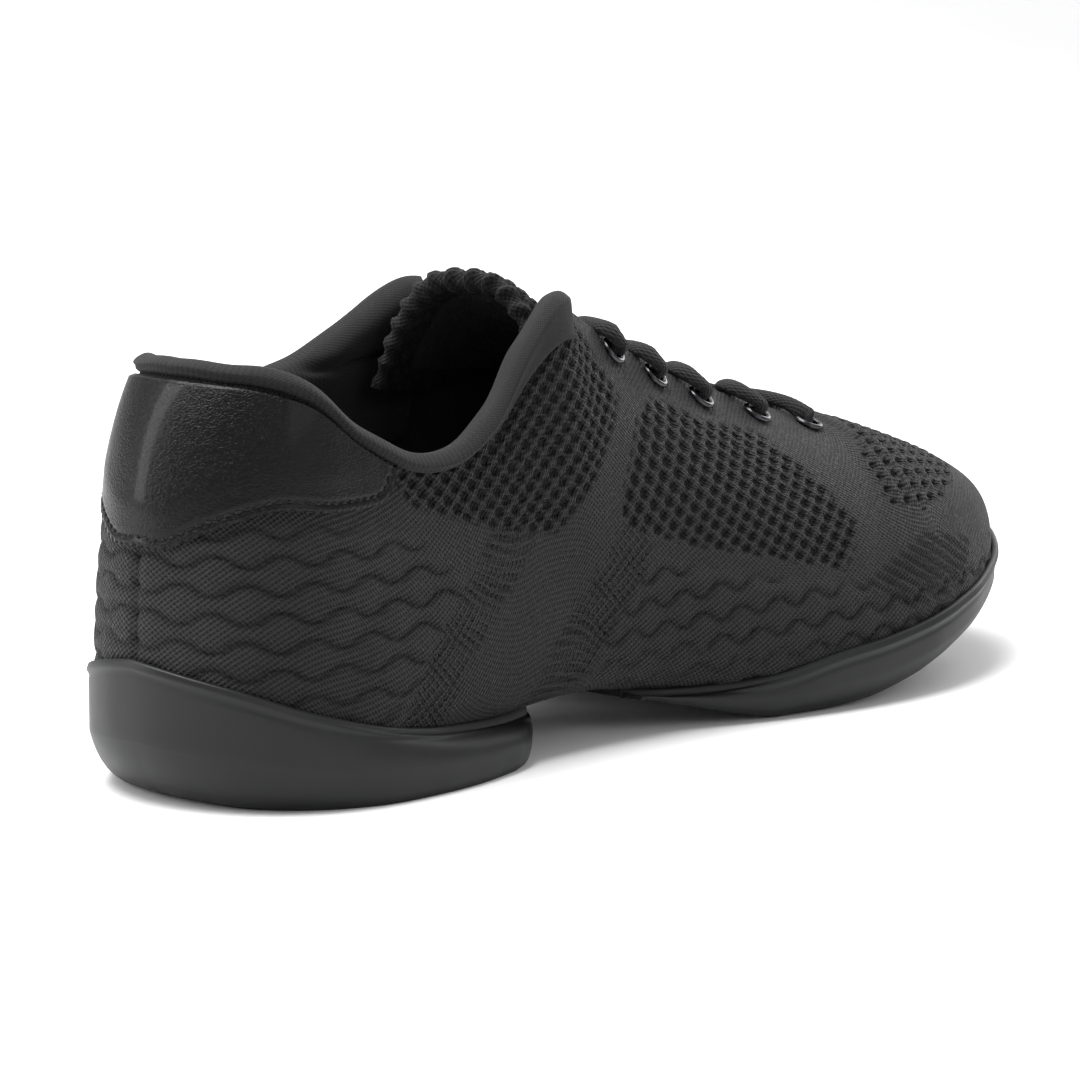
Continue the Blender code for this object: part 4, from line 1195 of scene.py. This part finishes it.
def counter_places(side, steps, shares):
    """Ribs and heights of the counter's points: share 0 is its lower edge and 1 its upper one."""
    low = height_at(side, steps, table_value(COUNTER_EDGE, steps, 1))
    low = np.minimum(low, COUNTER_TOP - 0.02)
    heights = low[:, None] + (COUNTER_TOP - low)[:, None] * shares[None, :]
    return steps[:, None] + np.zeros_like(heights), heights


def seam_line(grid, distance, out):
    """The line on a face that keeps the stitches' distance from the edge."""
    rows = []
    ways = []
    for points, gaps, normals in zip(grid, distance, out):
        reach = np.maximum.accumulate(gaps)
        if reach[-1] < STITCH_INSET:
            continue
        rows.append([np.interp(STITCH_INSET, reach, points[:, axis]) for axis in range(3)])
        ways.append([np.interp(STITCH_INSET, reach, normals[:, axis]) for axis in range(3)])
    return np.array(rows), unit(np.array(ways))


def stitch_row(name, line, out, pitch, length=1.5, radius=0.26):
    """A row of thread stitches that lie along a line on the face."""
    run = run_length(line)
    form = Form()
    around = np.linspace(0.0, 2 * math.pi, 9)[:-1]
    for middle in np.arange(pitch, run[-1] - pitch / 2, pitch):
        shares = np.linspace(-0.5, 0.5, 6)
        at = middle + shares * length
        centre = np.stack([np.interp(at, run, line[:, axis]) for axis in range(3)], -1)
        up = unit(np.stack([np.interp(at, run, out[:, axis]) for axis in range(3)], -1))
        way = unit(np.gradient(centre, axis=0))
        across = unit(np.cross(way, up))
        swell = np.sqrt(1.0 - (2 * shares) ** 4) * radius
        sink = (1.0 - (2 * shares) ** 2) * 0.2 - 0.05
        ring = (
            np.cos(around)[None, :, None] * across[:, None]
            + np.sin(around)[None, :, None] * up[:, None]
        )
        grid = centre[:, None] + up[:, None] * sink[:, None, None] + ring * swell[:, None, None]
        form.add(grid, wrap=True, cloth_place=grid)
    return form.to_piece(name, [finish("lace")], merge=0.001)


def lining_sections(side, steps):
    """The lining's section on each rib, closed: outside band, roll, and the padded inside."""
    inside_wall = -(KNIT_WALL + GAP + 0.15)
    top = surface(side, steps, 1.0)
    up = unit(top - surface(side, steps, 0.97))
    out = outward(side, steps, 1.0)
    band = BAND_FOOT - BAND_SPREAD * np.maximum(steps - BAND_WIDENS, 0.0)
    low = 1.0 - LINING_DEPTH
    points = [
        skin(side, steps, band, 0.15),
        skin(side, steps, band, GAP + LINING_SKIN * 0.7),
        skin(side, steps, band * 0.5 + 0.5, GAP + LINING_SKIN + 0.2),
        skin(side, steps, 1.0, GAP + LINING_SKIN + 0.9),
        top + out * 1.7 + up * (LINING_ROLL - 0.6),
        top + out * 0.5 + up * (LINING_ROLL + 0.8),
        top - out * (KNIT_WALL * 0.5) + up * (LINING_ROLL + 1.2),
        top - out * (KNIT_WALL + 1.4) + up * (LINING_ROLL + 0.6),
        top - out * (KNIT_WALL + LINING_PAD + 0.9) + up * 0.2,
        skin(side, steps, 0.9, inside_wall - LINING_PAD - 0.6),
        skin(side, steps, 0.76, inside_wall - LINING_PAD * 0.75),
        skin(side, steps, low, inside_wall - 1.0),
        skin(side, steps, low, inside_wall),
        skin(side, steps, 0.76, inside_wall),
        skin(side, steps, 0.9, inside_wall),
        top - out * (KNIT_WALL + GAP + 0.1) + up * (GAP + 0.1),
        top + out * 0.15 + up * (GAP + 0.1),
    ]
    return np.stack(points, 1)


def round_loop(sections, count):
    """Each closed section as a smooth loop of more points."""
    total = sections.shape[1]
    places = np.linspace(0.0, total, total * count + 1)[:-1]
    index = np.floor(places).astype(int)
    near = [sections[:, (index + offset) % total] for offset in (-1, 0, 1, 2)]
    return smooth(*near, (places - index)[None, :, None])


class SNEAKER_OT_lining(Operator):
    """Roll the padded jersey lining over the collar."""

    bl_idname = "sneaker.lining"
    bl_label = "Collar Lining"

    def execute(self, context):
        steps = even_steps(0.0, LINING_END, 1.0)
        form = Form()
        for side in SIDES:
            loops = round_loop(lining_sections(side, steps), 5)
            run = run_length(loops[:, 20])
            around = run_length(np.concatenate((loops, loops[:, :1]), 1), axis=1)[:, :-1]
            along = np.broadcast_to(run[:, None], around.shape)
            ribbed = (1.0 - ramp(6.2, 7.6, steps))[:, None] * np.ones_like(around)
            folds = lining_folds(side, steps, loops)
            middle = loops.mean(axis=1, keepdims=True)
            grid = loops + unit(loops - middle) * folds[..., None]
            where = np.stack((along, around, np.zeros_like(along)), -1)
            form.add(grid, wrap=True, cloth_place=where, ribbed=ribbed)
            cap = grid[-1]
            centre = cap.mean(axis=0)
            ahead = unit(centre - grid[-3].mean(axis=0))
            shares = np.array((1.0, 0.92, 0.75, 0.5, 0.25, 0.0))[:, None, None]
            bulge = ahead * END_BULGE * np.sqrt(1.0 - shares ** 2)
            rings = centre + (cap - centre) * shares + bulge
            form.add(
                rings, wrap=True, cloth_place=np.broadcast_to(where[-1], rings.shape),
                ribbed=np.zeros(rings.shape[:2]),
            )
        piece = form.to_piece("collar_padding", [finish("jersey")])
        settle(piece, "lining_jersey", "collar_lining")
        return {"FINISHED"}


def lining_folds(side, steps, loops):
    """Small puckers along the roll, and the inner side's level crease in front of the heel."""
    run = run_length(loops[:, 20])[:, None]
    z = loops[..., 2]
    pucker = 0.12 * np.sin(run / 2.6) + 0.1 * np.sin(run / 4.3 + 1.7)
    crease = np.zeros_like(z)
    if side > 0:
        line = np.exp(-((z - INNER_CREASE_HEIGHT) / 1.2) ** 2)
        reach = ramp(6.4, 7.0, steps) * (1 - ramp(8.7, 9.2, steps))
        crease = -1.5 * line * reach[:, None]
    return pucker * (1.0 - ramp(8.0, 9.0, steps))[:, None] + crease


def tongue_point(x, share):
    """Points on the tongue's outer face and its outward way there; share runs from -1 to 1."""
    def arch(values):
        crown, half, fall, power, middle = (
            table_value(TONGUE, x, column) for column in range(1, 6)
        )
        return np.stack((
            x + np.zeros_like(values), middle + half * values,
            crown - fall * np.abs(values) ** power,
        ), -1)

    def crown_at(places):
        return table_value(TONGUE, np.clip(places, TONGUE[0].x, TONGUE[-1].x), 1)

    point = arch(share)
    along = arch(share + 0.02) - arch(share - 0.02)
    slope = np.stack((
        np.full_like(x, 2.0), np.zeros_like(x), crown_at(x + 1.0) - crown_at(x - 1.0)
    ), -1)
    normal = unit(np.cross(slope, along))
    slant = np.maximum(TONGUE_SKEW_END - x, 0.0) / (TONGUE_SKEW_END - TONGUE[0].x)
    middle = table_value(TONGUE, x, 5)
    point[..., 0] += TONGUE_SKEW * slant * (point[..., 1] - middle)
    return point, normal


class SNEAKER_OT_tongue(Operator):
    """Knit the tongue: honeycomb outside and over its rim, jersey inside."""

    bl_idname = "sneaker.tongue"
    bl_label = "Tongue"

    def execute(self, context):
        settings = context.scene.sneaker
        shares = np.linspace(-1.0, 1.0, 97)
        xs = np.linspace(TONGUE[0].x, TONGUE[-1].x, 150)
        x, share = np.meshgrid(xs, shares, indexing="ij")
        outer, normal = tongue_point(x, share)
        depth = TONGUE_THICK * np.where(x < 125.0, 1.0, 0.8) * (1.0 - 0.5 * np.abs(share) ** 4)
        inner = outer - normal * depth[..., None]
        across = run_length(outer, axis=1)
        across = across - across[:, [48]]
        down = run_length(outer[:, 48])[:, None] + np.zeros_like(across)
        holes = 1.0 - ramp(0.2, 0.4, cells(
            down / (settings.mesh_height * IN_MM), across / (settings.mesh_width * IN_MM)
        ))
        edge = ramp(0.0, 0.06, 1.0 - np.abs(share))
        raised = outer + normal * (0.25 - 0.75 * holes * edge)[..., None]
        # painted shade: the honeycomb's holes are painted darker
        relief = 1.0 - holes
        hem = ramp(0.0, 1.0, TONGUE_HEM - (x - TONGUE[0].x)) * holes
        inner_lift = 0.7 * ramp(0.0, 1.5, TONGUE[0].x + TONGUE_HEM - x) - 0.6 * hem
        inner = inner - normal * inner_lift[..., None]
        turned = (x < TONGUE[0].x + TONGUE_HEM) | (np.abs(share) > TONGUE_SIDE_HEM)
        turned = turned[:-1, :-1]
        form = Form()
        where = np.stack((down, across, np.zeros_like(down)), -1)
        form.add(raised, knit_place=where, relief=relief, cloth_place=where)
        turns = np.linspace(0.0, math.pi, 15)
        back = unit(outer[0] - outer[2])
        middle = (raised[0] + inner[0]) / 2
        thick = np.linalg.norm(raised[0] - inner[0], axis=-1) / 2
        rim_rows = []
        rim_painted_light_level = []
        for turn in turns:
            rim_down = -turn * 2.6
            hollow = 1.0 - ramp(0.15, 0.5, cells(rim_down / 3.4, across[0] / 4.4))
            hollow = hollow * math.sin(turn) ** 0.5
            swell = 1.0 + 0.38 * math.sin(turn) - 0.13 * hollow
            way = normal[0] * math.cos(turn) + back * math.sin(turn)
            rim_rows.append(middle + way * (thick * swell)[:, None])
            # painted shade: the rim's hollows are painted darker
            rim_painted_light_level.append(1.0 - hollow)
        rim = np.stack(rim_rows, 0)
        rim_where = np.stack((
            -turns[:, None] * 2.6 + 0.0 * across[0][None, :],
            np.broadcast_to(across[0], rim.shape[:2]), np.zeros(rim.shape[:2]),
        ), -1)
        rim_painted_light_level = np.stack(rim_painted_light_level, 0)
        # the value 0.8 given to the rim's ends, the side strips and the front paints them a little
        # darker
        for column in (0, -1):
            bulge = np.sign(share[0, column]) * TONGUE_EDGE_BULGE
            centre = (raised[0, column] + inner[0, column]) / 2 + bulge
            end = np.stack((rim[:, column], np.broadcast_to(centre, (len(turns), 3))), 1)
            form.add(end, knit_place=np.zeros(end.shape), relief=np.full(end.shape[:2], 0.8))
        form.add(rim, knit_place=rim_where, relief=rim_painted_light_level, cloth_place=rim_where)
        form.add(inner, keep=turned, knit_place=where, relief=relief)
        form.add(inner, slot=1, keep=~turned, cloth_place=where, ribbed=np.zeros(share.shape))
        for column in (0, -1):
            edge_middle = (raised[:, column] + inner[:, column]) / 2
            bulge = np.sign(share[0, column]) * TONGUE_EDGE_BULGE
            strip = np.stack((raised[:, column], edge_middle + bulge, inner[:, column]), 1)
            corner = np.stack((strip[-1], strip[-1, [1, 1, 1]]), 1)
            form.add(corner, knit_place=np.zeros(corner.shape), relief=np.full((3, 2), 0.8))
            form.add(strip, knit_place=np.zeros(strip.shape), relief=np.full(strip.shape[:2], 0.8))
        front = np.stack((raised[-1], inner[-1]), 1)
        form.add(front, knit_place=np.zeros(front.shape), relief=np.full(front.shape[:2], 0.8))
        piece = form.to_piece("tongue_padding", [finish("tongue"), finish("jersey")])
        settle(piece, "tongue_knit", "tongue")
        return {"FINISHED"}


class SNEAKER_OT_insole(Operator):
    """Lay the footbed inside."""

    bl_idname = "sneaker.insole"
    bl_label = "Insole"

    def execute(self, context):
        steps = even_steps(0.0, LAST_RIB, 2.0)
        lift = KNIT_WALL + GAP + 0.1
        form = Form()
        for side in SIDES:
            values = rib_values(side, steps)
            foot = np.stack((values[0], values[1], values[2]), -1)
            centre = np.stack((values[4], values[8], values[2]), -1)
            inward = unit(centre - foot)
            below = foot + inward * INSOLE_INSET_BELOW + UP * lift
            above = foot + inward * (INSOLE_INSET_ABOVE + 0.8) + UP * (lift + INSOLE_THICK)
            rows = [centre + UP * lift, below, below * 0.5 + above * 0.5 - inward * 0.5]
            middle = centre + UP * (lift + INSOLE_THICK)
            for share in (0.0, 0.08, 0.2, 0.4, 0.6, 0.8, 1.0):
                rise = 0.35 * math.exp(-share * 5.0)
                rows.append(above + (middle - above) * share + UP * rise)
            grid = np.stack(rows, 1)
            form.add(grid, cloth_place=grid)
        piece = form.to_piece("footbed", [finish("footbed")])
        settle(piece, "footbed", "insole")
        return {"FINISHED"}


def tread_cut(points, heel):
    """How deep the tread's channels are at places under a pad, in millimetres."""
    x, y = points[..., 0], points[..., 1]
    waves = (x + TREAD_WAVE * np.cos(y / TREAD_WAVE_RUN)) / TREAD_PITCH
    waves = np.abs(fraction(waves) - 0.5)
    if heel:
        middle, half_length, half_width = HEEL_TREAD
        area = np.hypot((x - middle) / half_length, y / half_width) < 1.0
        return HEEL_TREAD_DEPTH * (1.0 - ramp(*TREAD_CHANNEL, waves)) * area
    round_spot = np.hypot(x - BALL_SPOT[0], y - BALL_SPOT[1])
    rings = np.abs(fraction(round_spot / BALL_RING_PITCH) - 0.5)
    pattern = np.where(round_spot < BALL_SPOT_RADIUS, rings, waves)
    start, slope = BALL_TREAD_NARROWS
    area = (x > BALL_TREAD_X[0]) & (x < BALL_TREAD_X[1])
    area &= np.abs(y) < BALL_TREAD_HALF - np.maximum(x - start, 0.0) * slope
    return BALL_TREAD_DEPTH * (1.0 - ramp(*TREAD_CHANNEL, pattern)) * area


def pad_form(rows, start, end, heel):
    """A rubber pad cupped round the last, with a bead along its rim."""
    steps = even_steps(start, end, 0.9)
    form = Form()
    for side in SIDES:
        rim, flare, tread, floor = (table_value(rows, steps, column) for column in range(1, 5))
        floor = np.maximum(floor, 0.0)
        height = height_at(side, steps, rim)
        lip = skin(side, steps, height, GAP + SOLE_LIP)
        foot = surface(side, steps, 0.0)
        face = unit(outward(side, steps, 0.0) * (1.0, 1.0, 0.0))
        deep = rim - floor

        def stand(level, reach):
            return np.stack((foot[:, 0], foot[:, 1], level), -1) + face * reach[:, None]

        middle = stand(floor + 0.46 * deep, flare)
        turn = stand(floor + 0.08 * deep, flare * 0.75 + tread * 0.25)
        edge = stand(floor, tread)
        upper_turn = middle.copy()
        upper_turn[:, 2] = floor + 0.8 * deep
        shares = np.linspace(0.0, 1.0, 17)[None, :, None] ** 1.6
        upper_part = bezier([point[:, None] for point in (lip, upper_turn, middle)], shares)
        lower_part = bezier([point[:, None] for point in (middle, turn, edge)], shares)
        wall = np.concatenate((upper_part, lower_part[:, 1:]), axis=1)
        fall = run_length(wall, axis=1)
        bead = RIM_BEAD * np.exp(-((fall - 0.8) / 0.55) ** 2)
        groove = 0.2 * np.exp(-((fall - 2.1) / 0.45) ** 2)
        wall = wall + face[:, None] * (bead - groove)[..., None]
        values = rib_values(side, steps)
        centre = np.stack((values[4], values[8], floor), -1)
        run = np.linspace(0.0, 1.0, 40)[None, 1:, None]
        under = edge[:, None] + (centre - edge)[:, None] * run
        under[..., 2] += tread_cut(under, heel)
        grid = np.concatenate((wall, under), axis=1)
        top_in = skin(side, steps, height, 0.1)
        turns = np.linspace(0.0, math.pi, 9)[None, :, None]
        crest = top_in[:, None] + (grid[:, 0] - top_in)[:, None] * (1.0 - np.cos(turns)) / 2
        crest = crest + UP * RIM_ROUND * np.sin(turns)
        form.add(grid)
        form.add(crest)
        down = np.linspace(0.0, 1.0, grid.shape[1] - 1)[None, :]
        heights = height[:, None] + (-1.0 - height)[:, None] * down
        heights = np.concatenate((heights, np.full((len(steps), 1), -2.0)), axis=1)
        inner = skin(side, steps[:, None] + 0.0 * heights, heights, 0.1)
        form.add(inner)
        end = -1 if heel else 0
        outline = np.concatenate((crest[end, 1:-1][::-1], grid[end]))
        back = np.concatenate((np.repeat(inner[end, :1], crest.shape[1] - 2, axis=0), inner[end]))
        form.add(np.stack((outline, back), 1))
        form.add(np.stack((crest[end, :2], crest[end, [0, 0]]), 1))
    return form


class SNEAKER_OT_sole(Operator):
    """Mould the two rubber pads of the split sole."""

    bl_idname = "sneaker.sole"
    bl_label = "Split Sole"

    def execute(self, context):
        for name, node, rows, start, end in (
            ("heel_pad", "heel_sole", HEEL_PAD, 0.0, HEEL_PAD_END),
            ("forefoot_pad", "forefoot_sole", FOREFOOT_PAD, FOREFOOT_PAD_START, LAST_RIB),
        ):
            form = pad_form(rows, start, end, name == "heel_pad")
            piece = form.to_piece(name, [finish("rubber")])
            settle(piece, "sole_rubber", node)
        return {"FINISHED"}


class SNEAKER_OT_eyelets(Operator):
    """Set the ten metal eyelets."""

    bl_idname = "sneaker.eyelets"
    bl_label = "Eyelets"

    def execute(self, context):
        around = np.linspace(0.0, 2 * math.pi, 41)[:-1]
        flange = [
            (EYELET_BORE + EYELET_FLANGE * (1 - math.cos(a)),
             EYELET_SEAT + 0.1 + EYELET_ROUND * math.sin(a))
            for a in np.linspace(0.0, math.pi, 11)
        ]
        profile = [
            (EYELET_BORE, -EYELET_SINK), *flange, (EYELET_OUTSIDE, EYELET_SEAT - 0.1),
            (EYELET_OUTSIDE, -EYELET_SINK),
        ]
        radii = np.array([radius for radius, _ in profile])
        levels = np.array([level for _, level in profile])
        for side in SIDES:
            for number, eyelet in enumerate(EYELETS, start=1):
                centre, axis = eyelet_frame(side, eyelet)
                across = unit(np.cross(axis, (1.0, 0.0, 0.0)))
                other = np.cross(axis, across)
                ring = (
                    np.cos(around)[None, :, None] * across + np.sin(around)[None, :, None] * other
                )
                grid = centre + ring * radii[:, None, None] + axis * levels[:, None, None]
                form = Form()
                form.add(np.concatenate((grid, grid[:1])), wrap=True)
                word = "outer" if side < 0 else "inner"
                piece = form.to_piece(f"eyelet_ring_{word}_{number}", [finish("metal")])
                settle(piece, "eyelet_metal", f"eyelet_{word}_{number}")
        return {"FINISHED"}


def over_throat(side, x, lift):
    """A lace's centre where it passes over the throat's edge."""
    step = throat_rib(side, x)
    return surface(side, step, 0.985) + outward(side, step, 0.985) * lift


def crossing_route(side, higher, lower, radius):
    """A lace from under one eyelet, out of the throat, over to the next one up and into it.
    Each row is a point and how thick the lace is there."""
    start_side = -side
    below, axis_below = eyelet_frame(start_side, lower)
    hole, axis = eyelet_frame(side, higher)
    meeting_x = (higher.x + lower.x) / 2 - 0.5
    start_x = lower.x - 3.0
    crown = float(table_value(TONGUE, np.array(meeting_x), 1))
    edge = surface(start_side, throat_rib(start_side, start_x), 1.0)
    half = float(table_value(TONGUE, np.array(start_x), 2))
    out_y = edge[1] * 0.62
    on_tongue = tongue_point(np.array([start_x]), np.array([out_y / half]))[0][0]
    emerge = np.array((start_x, out_y, on_tongue[2] + radius * 0.75))
    under = (below - axis_below * LACE_START_BELOW) * 0.5 + emerge * 0.5
    under[2] = min(under[2], emerge[2] - 0.5)
    weave = 0.9 if side < 0 else -0.7
    centre = np.array((meeting_x, 0.0, crown + radius + 1.2 + weave))
    over = over_throat(side, higher.x - 1.4, LACE_CLEAR + radius)
    shoulder = hole + axis * (radius + 1.5) - np.array((0.0, 0.6 * side, 0.0))
    return [
        (below - axis_below * LACE_START_BELOW, LACE_HIDDEN), (under, LACE_HIDDEN), (emerge, 0.85),
        (centre, 1.0), (over, 1.0), (shoulder, 0.95), (hole + axis * LACE_NECK_ABOVE, LACE_NECK),
        (hole - axis * LACE_END_BELOW, LACE_HIDDEN),
    ]


def lace_form(route, width, flat):
    """A flattened, braided tube through a route of points and thicknesses."""
    points = np.array([point for point, _ in route])
    sizes = np.array([size for _, size in route])
    padded = np.concatenate((points[:1] * 2 - points[1:2], points, points[-1:] * 2 - points[-2:-1]))
    size_run = np.concatenate((sizes[:1], sizes, sizes[-1:]))
    places = np.linspace(0.0, len(points) - 1.0, (len(points) - 1) * 14 + 1)
    index = np.minimum(np.floor(places).astype(int), len(points) - 2)
    share = (places - index)[:, None]
    line = smooth(*[padded[index + offset] for offset in (0, 1, 2, 3)], share)
    size = smooth(*[size_run[index + offset] for offset in (0, 1, 2, 3)], share[:, 0])
    way = unit(np.gradient(line, axis=0))
    up = np.array((0.0, 0.0, 1.0)) - way * way[:, 2:3]
    for number in range(len(up)):
        previous = up[number - 1] if number else np.array((0.0, 0.0, 1.0))
        carried = previous - way[number] * np.dot(previous, way[number])
        up[number] = unit(carried * 0.8 + up[number] * 0.2)
    across = np.cross(way, up)
    around = np.linspace(0.0, 2 * math.pi, 25)[:-1]
    run = run_length(line)
    braid = 1.0 + 0.035 * np.sin(run[:, None] * 2.4 + around[None, :] * 4) * np.sin(
        run[:, None] * 2.4 - around[None, :] * 4
    )
    wide = (np.cos(around)[None, :] * braid * size[:, None] * width / 2)[..., None]
    tall = (np.sin(around)[None, :] * braid * size[:, None] * width * flat / 2)[..., None]
    grid = line[:, None] + across[:, None] * wide + up[:, None] * tall
    girth = np.broadcast_to(around[None, :] * width / 2, grid.shape[:2])
    where = np.stack((run[:, None] + 0.0 * girth, girth, 0.0 * girth), -1)
    form = Form()
    form.add(grid, wrap=True, cloth_place=where)
    for end in (0, -1):
        cap = np.stack([line[end] + (grid[end] - line[end]) * part for part in (1.0, 0.5, 0.0)], 0)
        form.add(cap, wrap=True, cloth_place=np.broadcast_to(where[end], cap.shape))
    return form


class SNEAKER_OT_laces(Operator):
    """Run the lace through the eyelets and across the tongue."""

    bl_idname = "sneaker.laces"
    bl_label = "Laces"

    def execute(self, context):
        width = context.scene.sneaker.lace_width * IN_MM
        radius = width * LACE_FLAT / 2
        for number, (higher, lower) in enumerate(zip(EYELETS, EYELETS[1:]), start=1):
            for side in SIDES:
                word = "outer" if side < 0 else "inner"
                route = crossing_route(side, higher, lower, radius)
                form = lace_form(route, width, LACE_FLAT)
                name = f"lace_to_{word}_{number}"
                piece = form.to_piece(name, [finish("lace")], merge=0.002, angle=80.0)
                settle(piece, "lace_weave", f"lace_crossing_{number}")
        lowest = EYELETS[-1]
        ends = []
        for side in SIDES:
            hole, axis = eyelet_frame(side, lowest)
            ends.append([
                (hole - axis * LACE_END_BELOW, LACE_HIDDEN),
                (hole + axis * LACE_NECK_ABOVE, LACE_NECK),
                (hole + axis * (radius + 0.9) - np.array((0.0, 2.0 * side, 0.0)), 0.95),
                (over_throat(side, lowest.x, LACE_CLEAR + radius), 1.0),
            ])
        crown = (ends[0][-1][0] + ends[1][-1][0]) / 2 + np.array((0.0, 0.0, 0.8))
        route = ends[0] + [(crown, 1.0)] + ends[1][::-1]
        form = lace_form(route, width, LACE_FLAT)
        piece = form.to_piece("lace_front_bar", [finish("lace")], angle=80.0)
        settle(piece, "lace_weave", "lace_bar")
        return {"FINISHED"}


class SNEAKER_OT_stage(Operator):
    """Set the pale floor, the soft lights and the camera."""

    bl_idname = "sneaker.stage"
    bl_label = "Stage"

    def execute(self, context):
        scene = context.scene
        floor_sweep(scene)
        for box in LIGHTS:
            soft_light(scene, box)
        world = bpy.data.worlds.new("studio")
        world.use_nodes = True
        backdrop = world.node_tree.nodes["Background"]
        backdrop.inputs["Color"].default_value = (1.0, 1.0, 1.0, 1.0)
        backdrop.inputs["Strength"].default_value = WORLD_LIGHT
        scene.world = world
        scene.view_settings.view_transform = "Standard"
        camera(scene)
        return {"FINISHED"}


def floor_sweep(scene):
    """A pale floor that curves up behind the shoe."""
    turn = np.linspace(0.0, math.pi / 2, 16)
    profile = [(FLOOR_NEAR, 0.0), (FLOOR_FAR, 0.0)]
    profile += [
        (FLOOR_FAR + FLOOR_BEND * math.sin(a), FLOOR_BEND - FLOOR_BEND * math.cos(a))
        for a in turn[1:]
    ]
    profile += [(FLOOR_FAR + FLOOR_BEND, FLOOR_TOP)]
    yaw = math.radians(CAMERA_YAW)
    ahead = Vector((math.sin(yaw), math.cos(yaw), 0.0))
    across = Vector((math.cos(yaw), -math.sin(yaw), 0.0))
    work = bmesh.new()
    previous = None
    for reach, level in profile:
        row = [
            work.verts.new(ahead * reach + across * wide + Vector((0.0, 0.0, level)))
            for wide in (-FLOOR_HALF, FLOOR_HALF)
        ]
        if previous:
            work.faces.new((previous[0], previous[1], row[1], row[0]))
        previous = row
    bmesh.ops.recalc_face_normals(work, faces=work.faces)
    mesh = bpy.data.meshes.new("floor_sweep")
    work.to_mesh(mesh)
    work.free()
    mesh.shade_smooth()
    made, net, shader = shader_of("pale_floor", FLOOR_COLOUR, Roughness=0.6)
    grain = net.noise(net.add("ShaderNodeTexCoord").outputs["Object"], 3.0, 2.0)
    tone = net.remap(grain, 0.3, 0.7, 0.99, 1.01)
    net.put(shader.inputs["Base Color"], net.tint(FLOOR_COLOUR, tone))
    mesh.materials.append(made)
    floor = bpy.data.objects.new("floor_sweep", mesh)
    scene.collection.objects.link(floor)


def soft_light(scene, box):
    """A softbox that faces a point."""
    light = bpy.data.lights.new(box.name, "AREA")
    light.shape = "RECTANGLE"
    light.size, light.size_y = box.size
    light.energy = box.power
    holder = bpy.data.objects.new(box.name, light)
    holder.location = box.spot
    way = Vector(box.target) - Vector(box.spot)
    holder.rotation_euler = way.to_track_quat("-Z", "Y").to_euler()
    scene.collection.objects.link(holder)


# The camera's place is in the part's frame, solved from the photograph's perspective
CAMERA_PLACE = (-0.70617, -0.61378, 0.19614)
CAMERA_YAW = 46.5458
CAMERA_PITCH = 9.4297
PHOTO_SIZE = 1080.0
PHOTO_FOCAL = 3758.16
SENSOR = 36.0
CLOSER = 1.15
SHOE_CENTRE = (659.0, 553.5)


def camera(scene):
    """The photograph's view of the shoe, shifted so that the one shoe fills the frame."""
    data = bpy.data.cameras.new("photo_view")
    data.sensor_width = SENSOR
    data.lens = PHOTO_FOCAL / PHOTO_SIZE * SENSOR * CLOSER
    data.shift_x = (SHOE_CENTRE[0] - PHOTO_SIZE / 2) / PHOTO_SIZE * CLOSER
    data.shift_y = -(SHOE_CENTRE[1] - PHOTO_SIZE / 2) / PHOTO_SIZE * CLOSER
    data.clip_start = 0.01
    holder = bpy.data.objects.new("photo_view", data)
    holder.location = CAMERA_PLACE
    yaw, pitch = math.radians(CAMERA_YAW), math.radians(CAMERA_PITCH)
    ahead = Vector((
        math.sin(yaw) * math.cos(pitch), math.cos(yaw) * math.cos(pitch), -math.sin(pitch)
    ))
    holder.rotation_euler = ahead.to_track_quat("-Z", "Y").to_euler()
    scene.collection.objects.link(holder)
    scene.camera = holder


OPERATORS = (
    SNEAKER_OT_stage, SNEAKER_OT_upper, SNEAKER_OT_counter, SNEAKER_OT_lining,
    SNEAKER_OT_tongue, SNEAKER_OT_insole, SNEAKER_OT_sole, SNEAKER_OT_eyelets,
    SNEAKER_OT_laces,
)


class SNEAKER_PT_panel(Panel):
    """The sneaker's sizes, colours and pieces."""

    bl_label = "Dance Sneaker"
    bl_idname = "SNEAKER_PT_panel"
    bl_space_type = "VIEW_3D"
    bl_region_type = "UI"
    bl_category = "Sneaker"

    def draw(self, context):
        for name in SneakerSettings.__annotations__:
            self.layout.prop(context.scene.sneaker, name)
        for operator in OPERATORS:
            self.layout.operator(operator.bl_idname)


CLASSES = (SneakerSettings, *OPERATORS, SNEAKER_PT_panel)


def register():
    """Add the sneaker's sizes, pieces and panel."""
    for each in CLASSES:
        bpy.utils.register_class(each)
    bpy.types.Scene.sneaker = PointerProperty(type=SneakerSettings)


def unregister():
    """Take them out again."""
    del bpy.types.Scene.sneaker
    for each in reversed(CLASSES):
        bpy.utils.unregister_class(each)


def main():
    """Build every piece."""
    register()
    bpy.ops.sneaker.stage()
    bpy.ops.sneaker.upper()
    bpy.ops.sneaker.counter()
    bpy.ops.sneaker.lining()
    bpy.ops.sneaker.tongue()
    bpy.ops.sneaker.insole()
    bpy.ops.sneaker.sole()
    bpy.ops.sneaker.eyelets()
    bpy.ops.sneaker.laces()


if __name__ == "__main__":
    main()
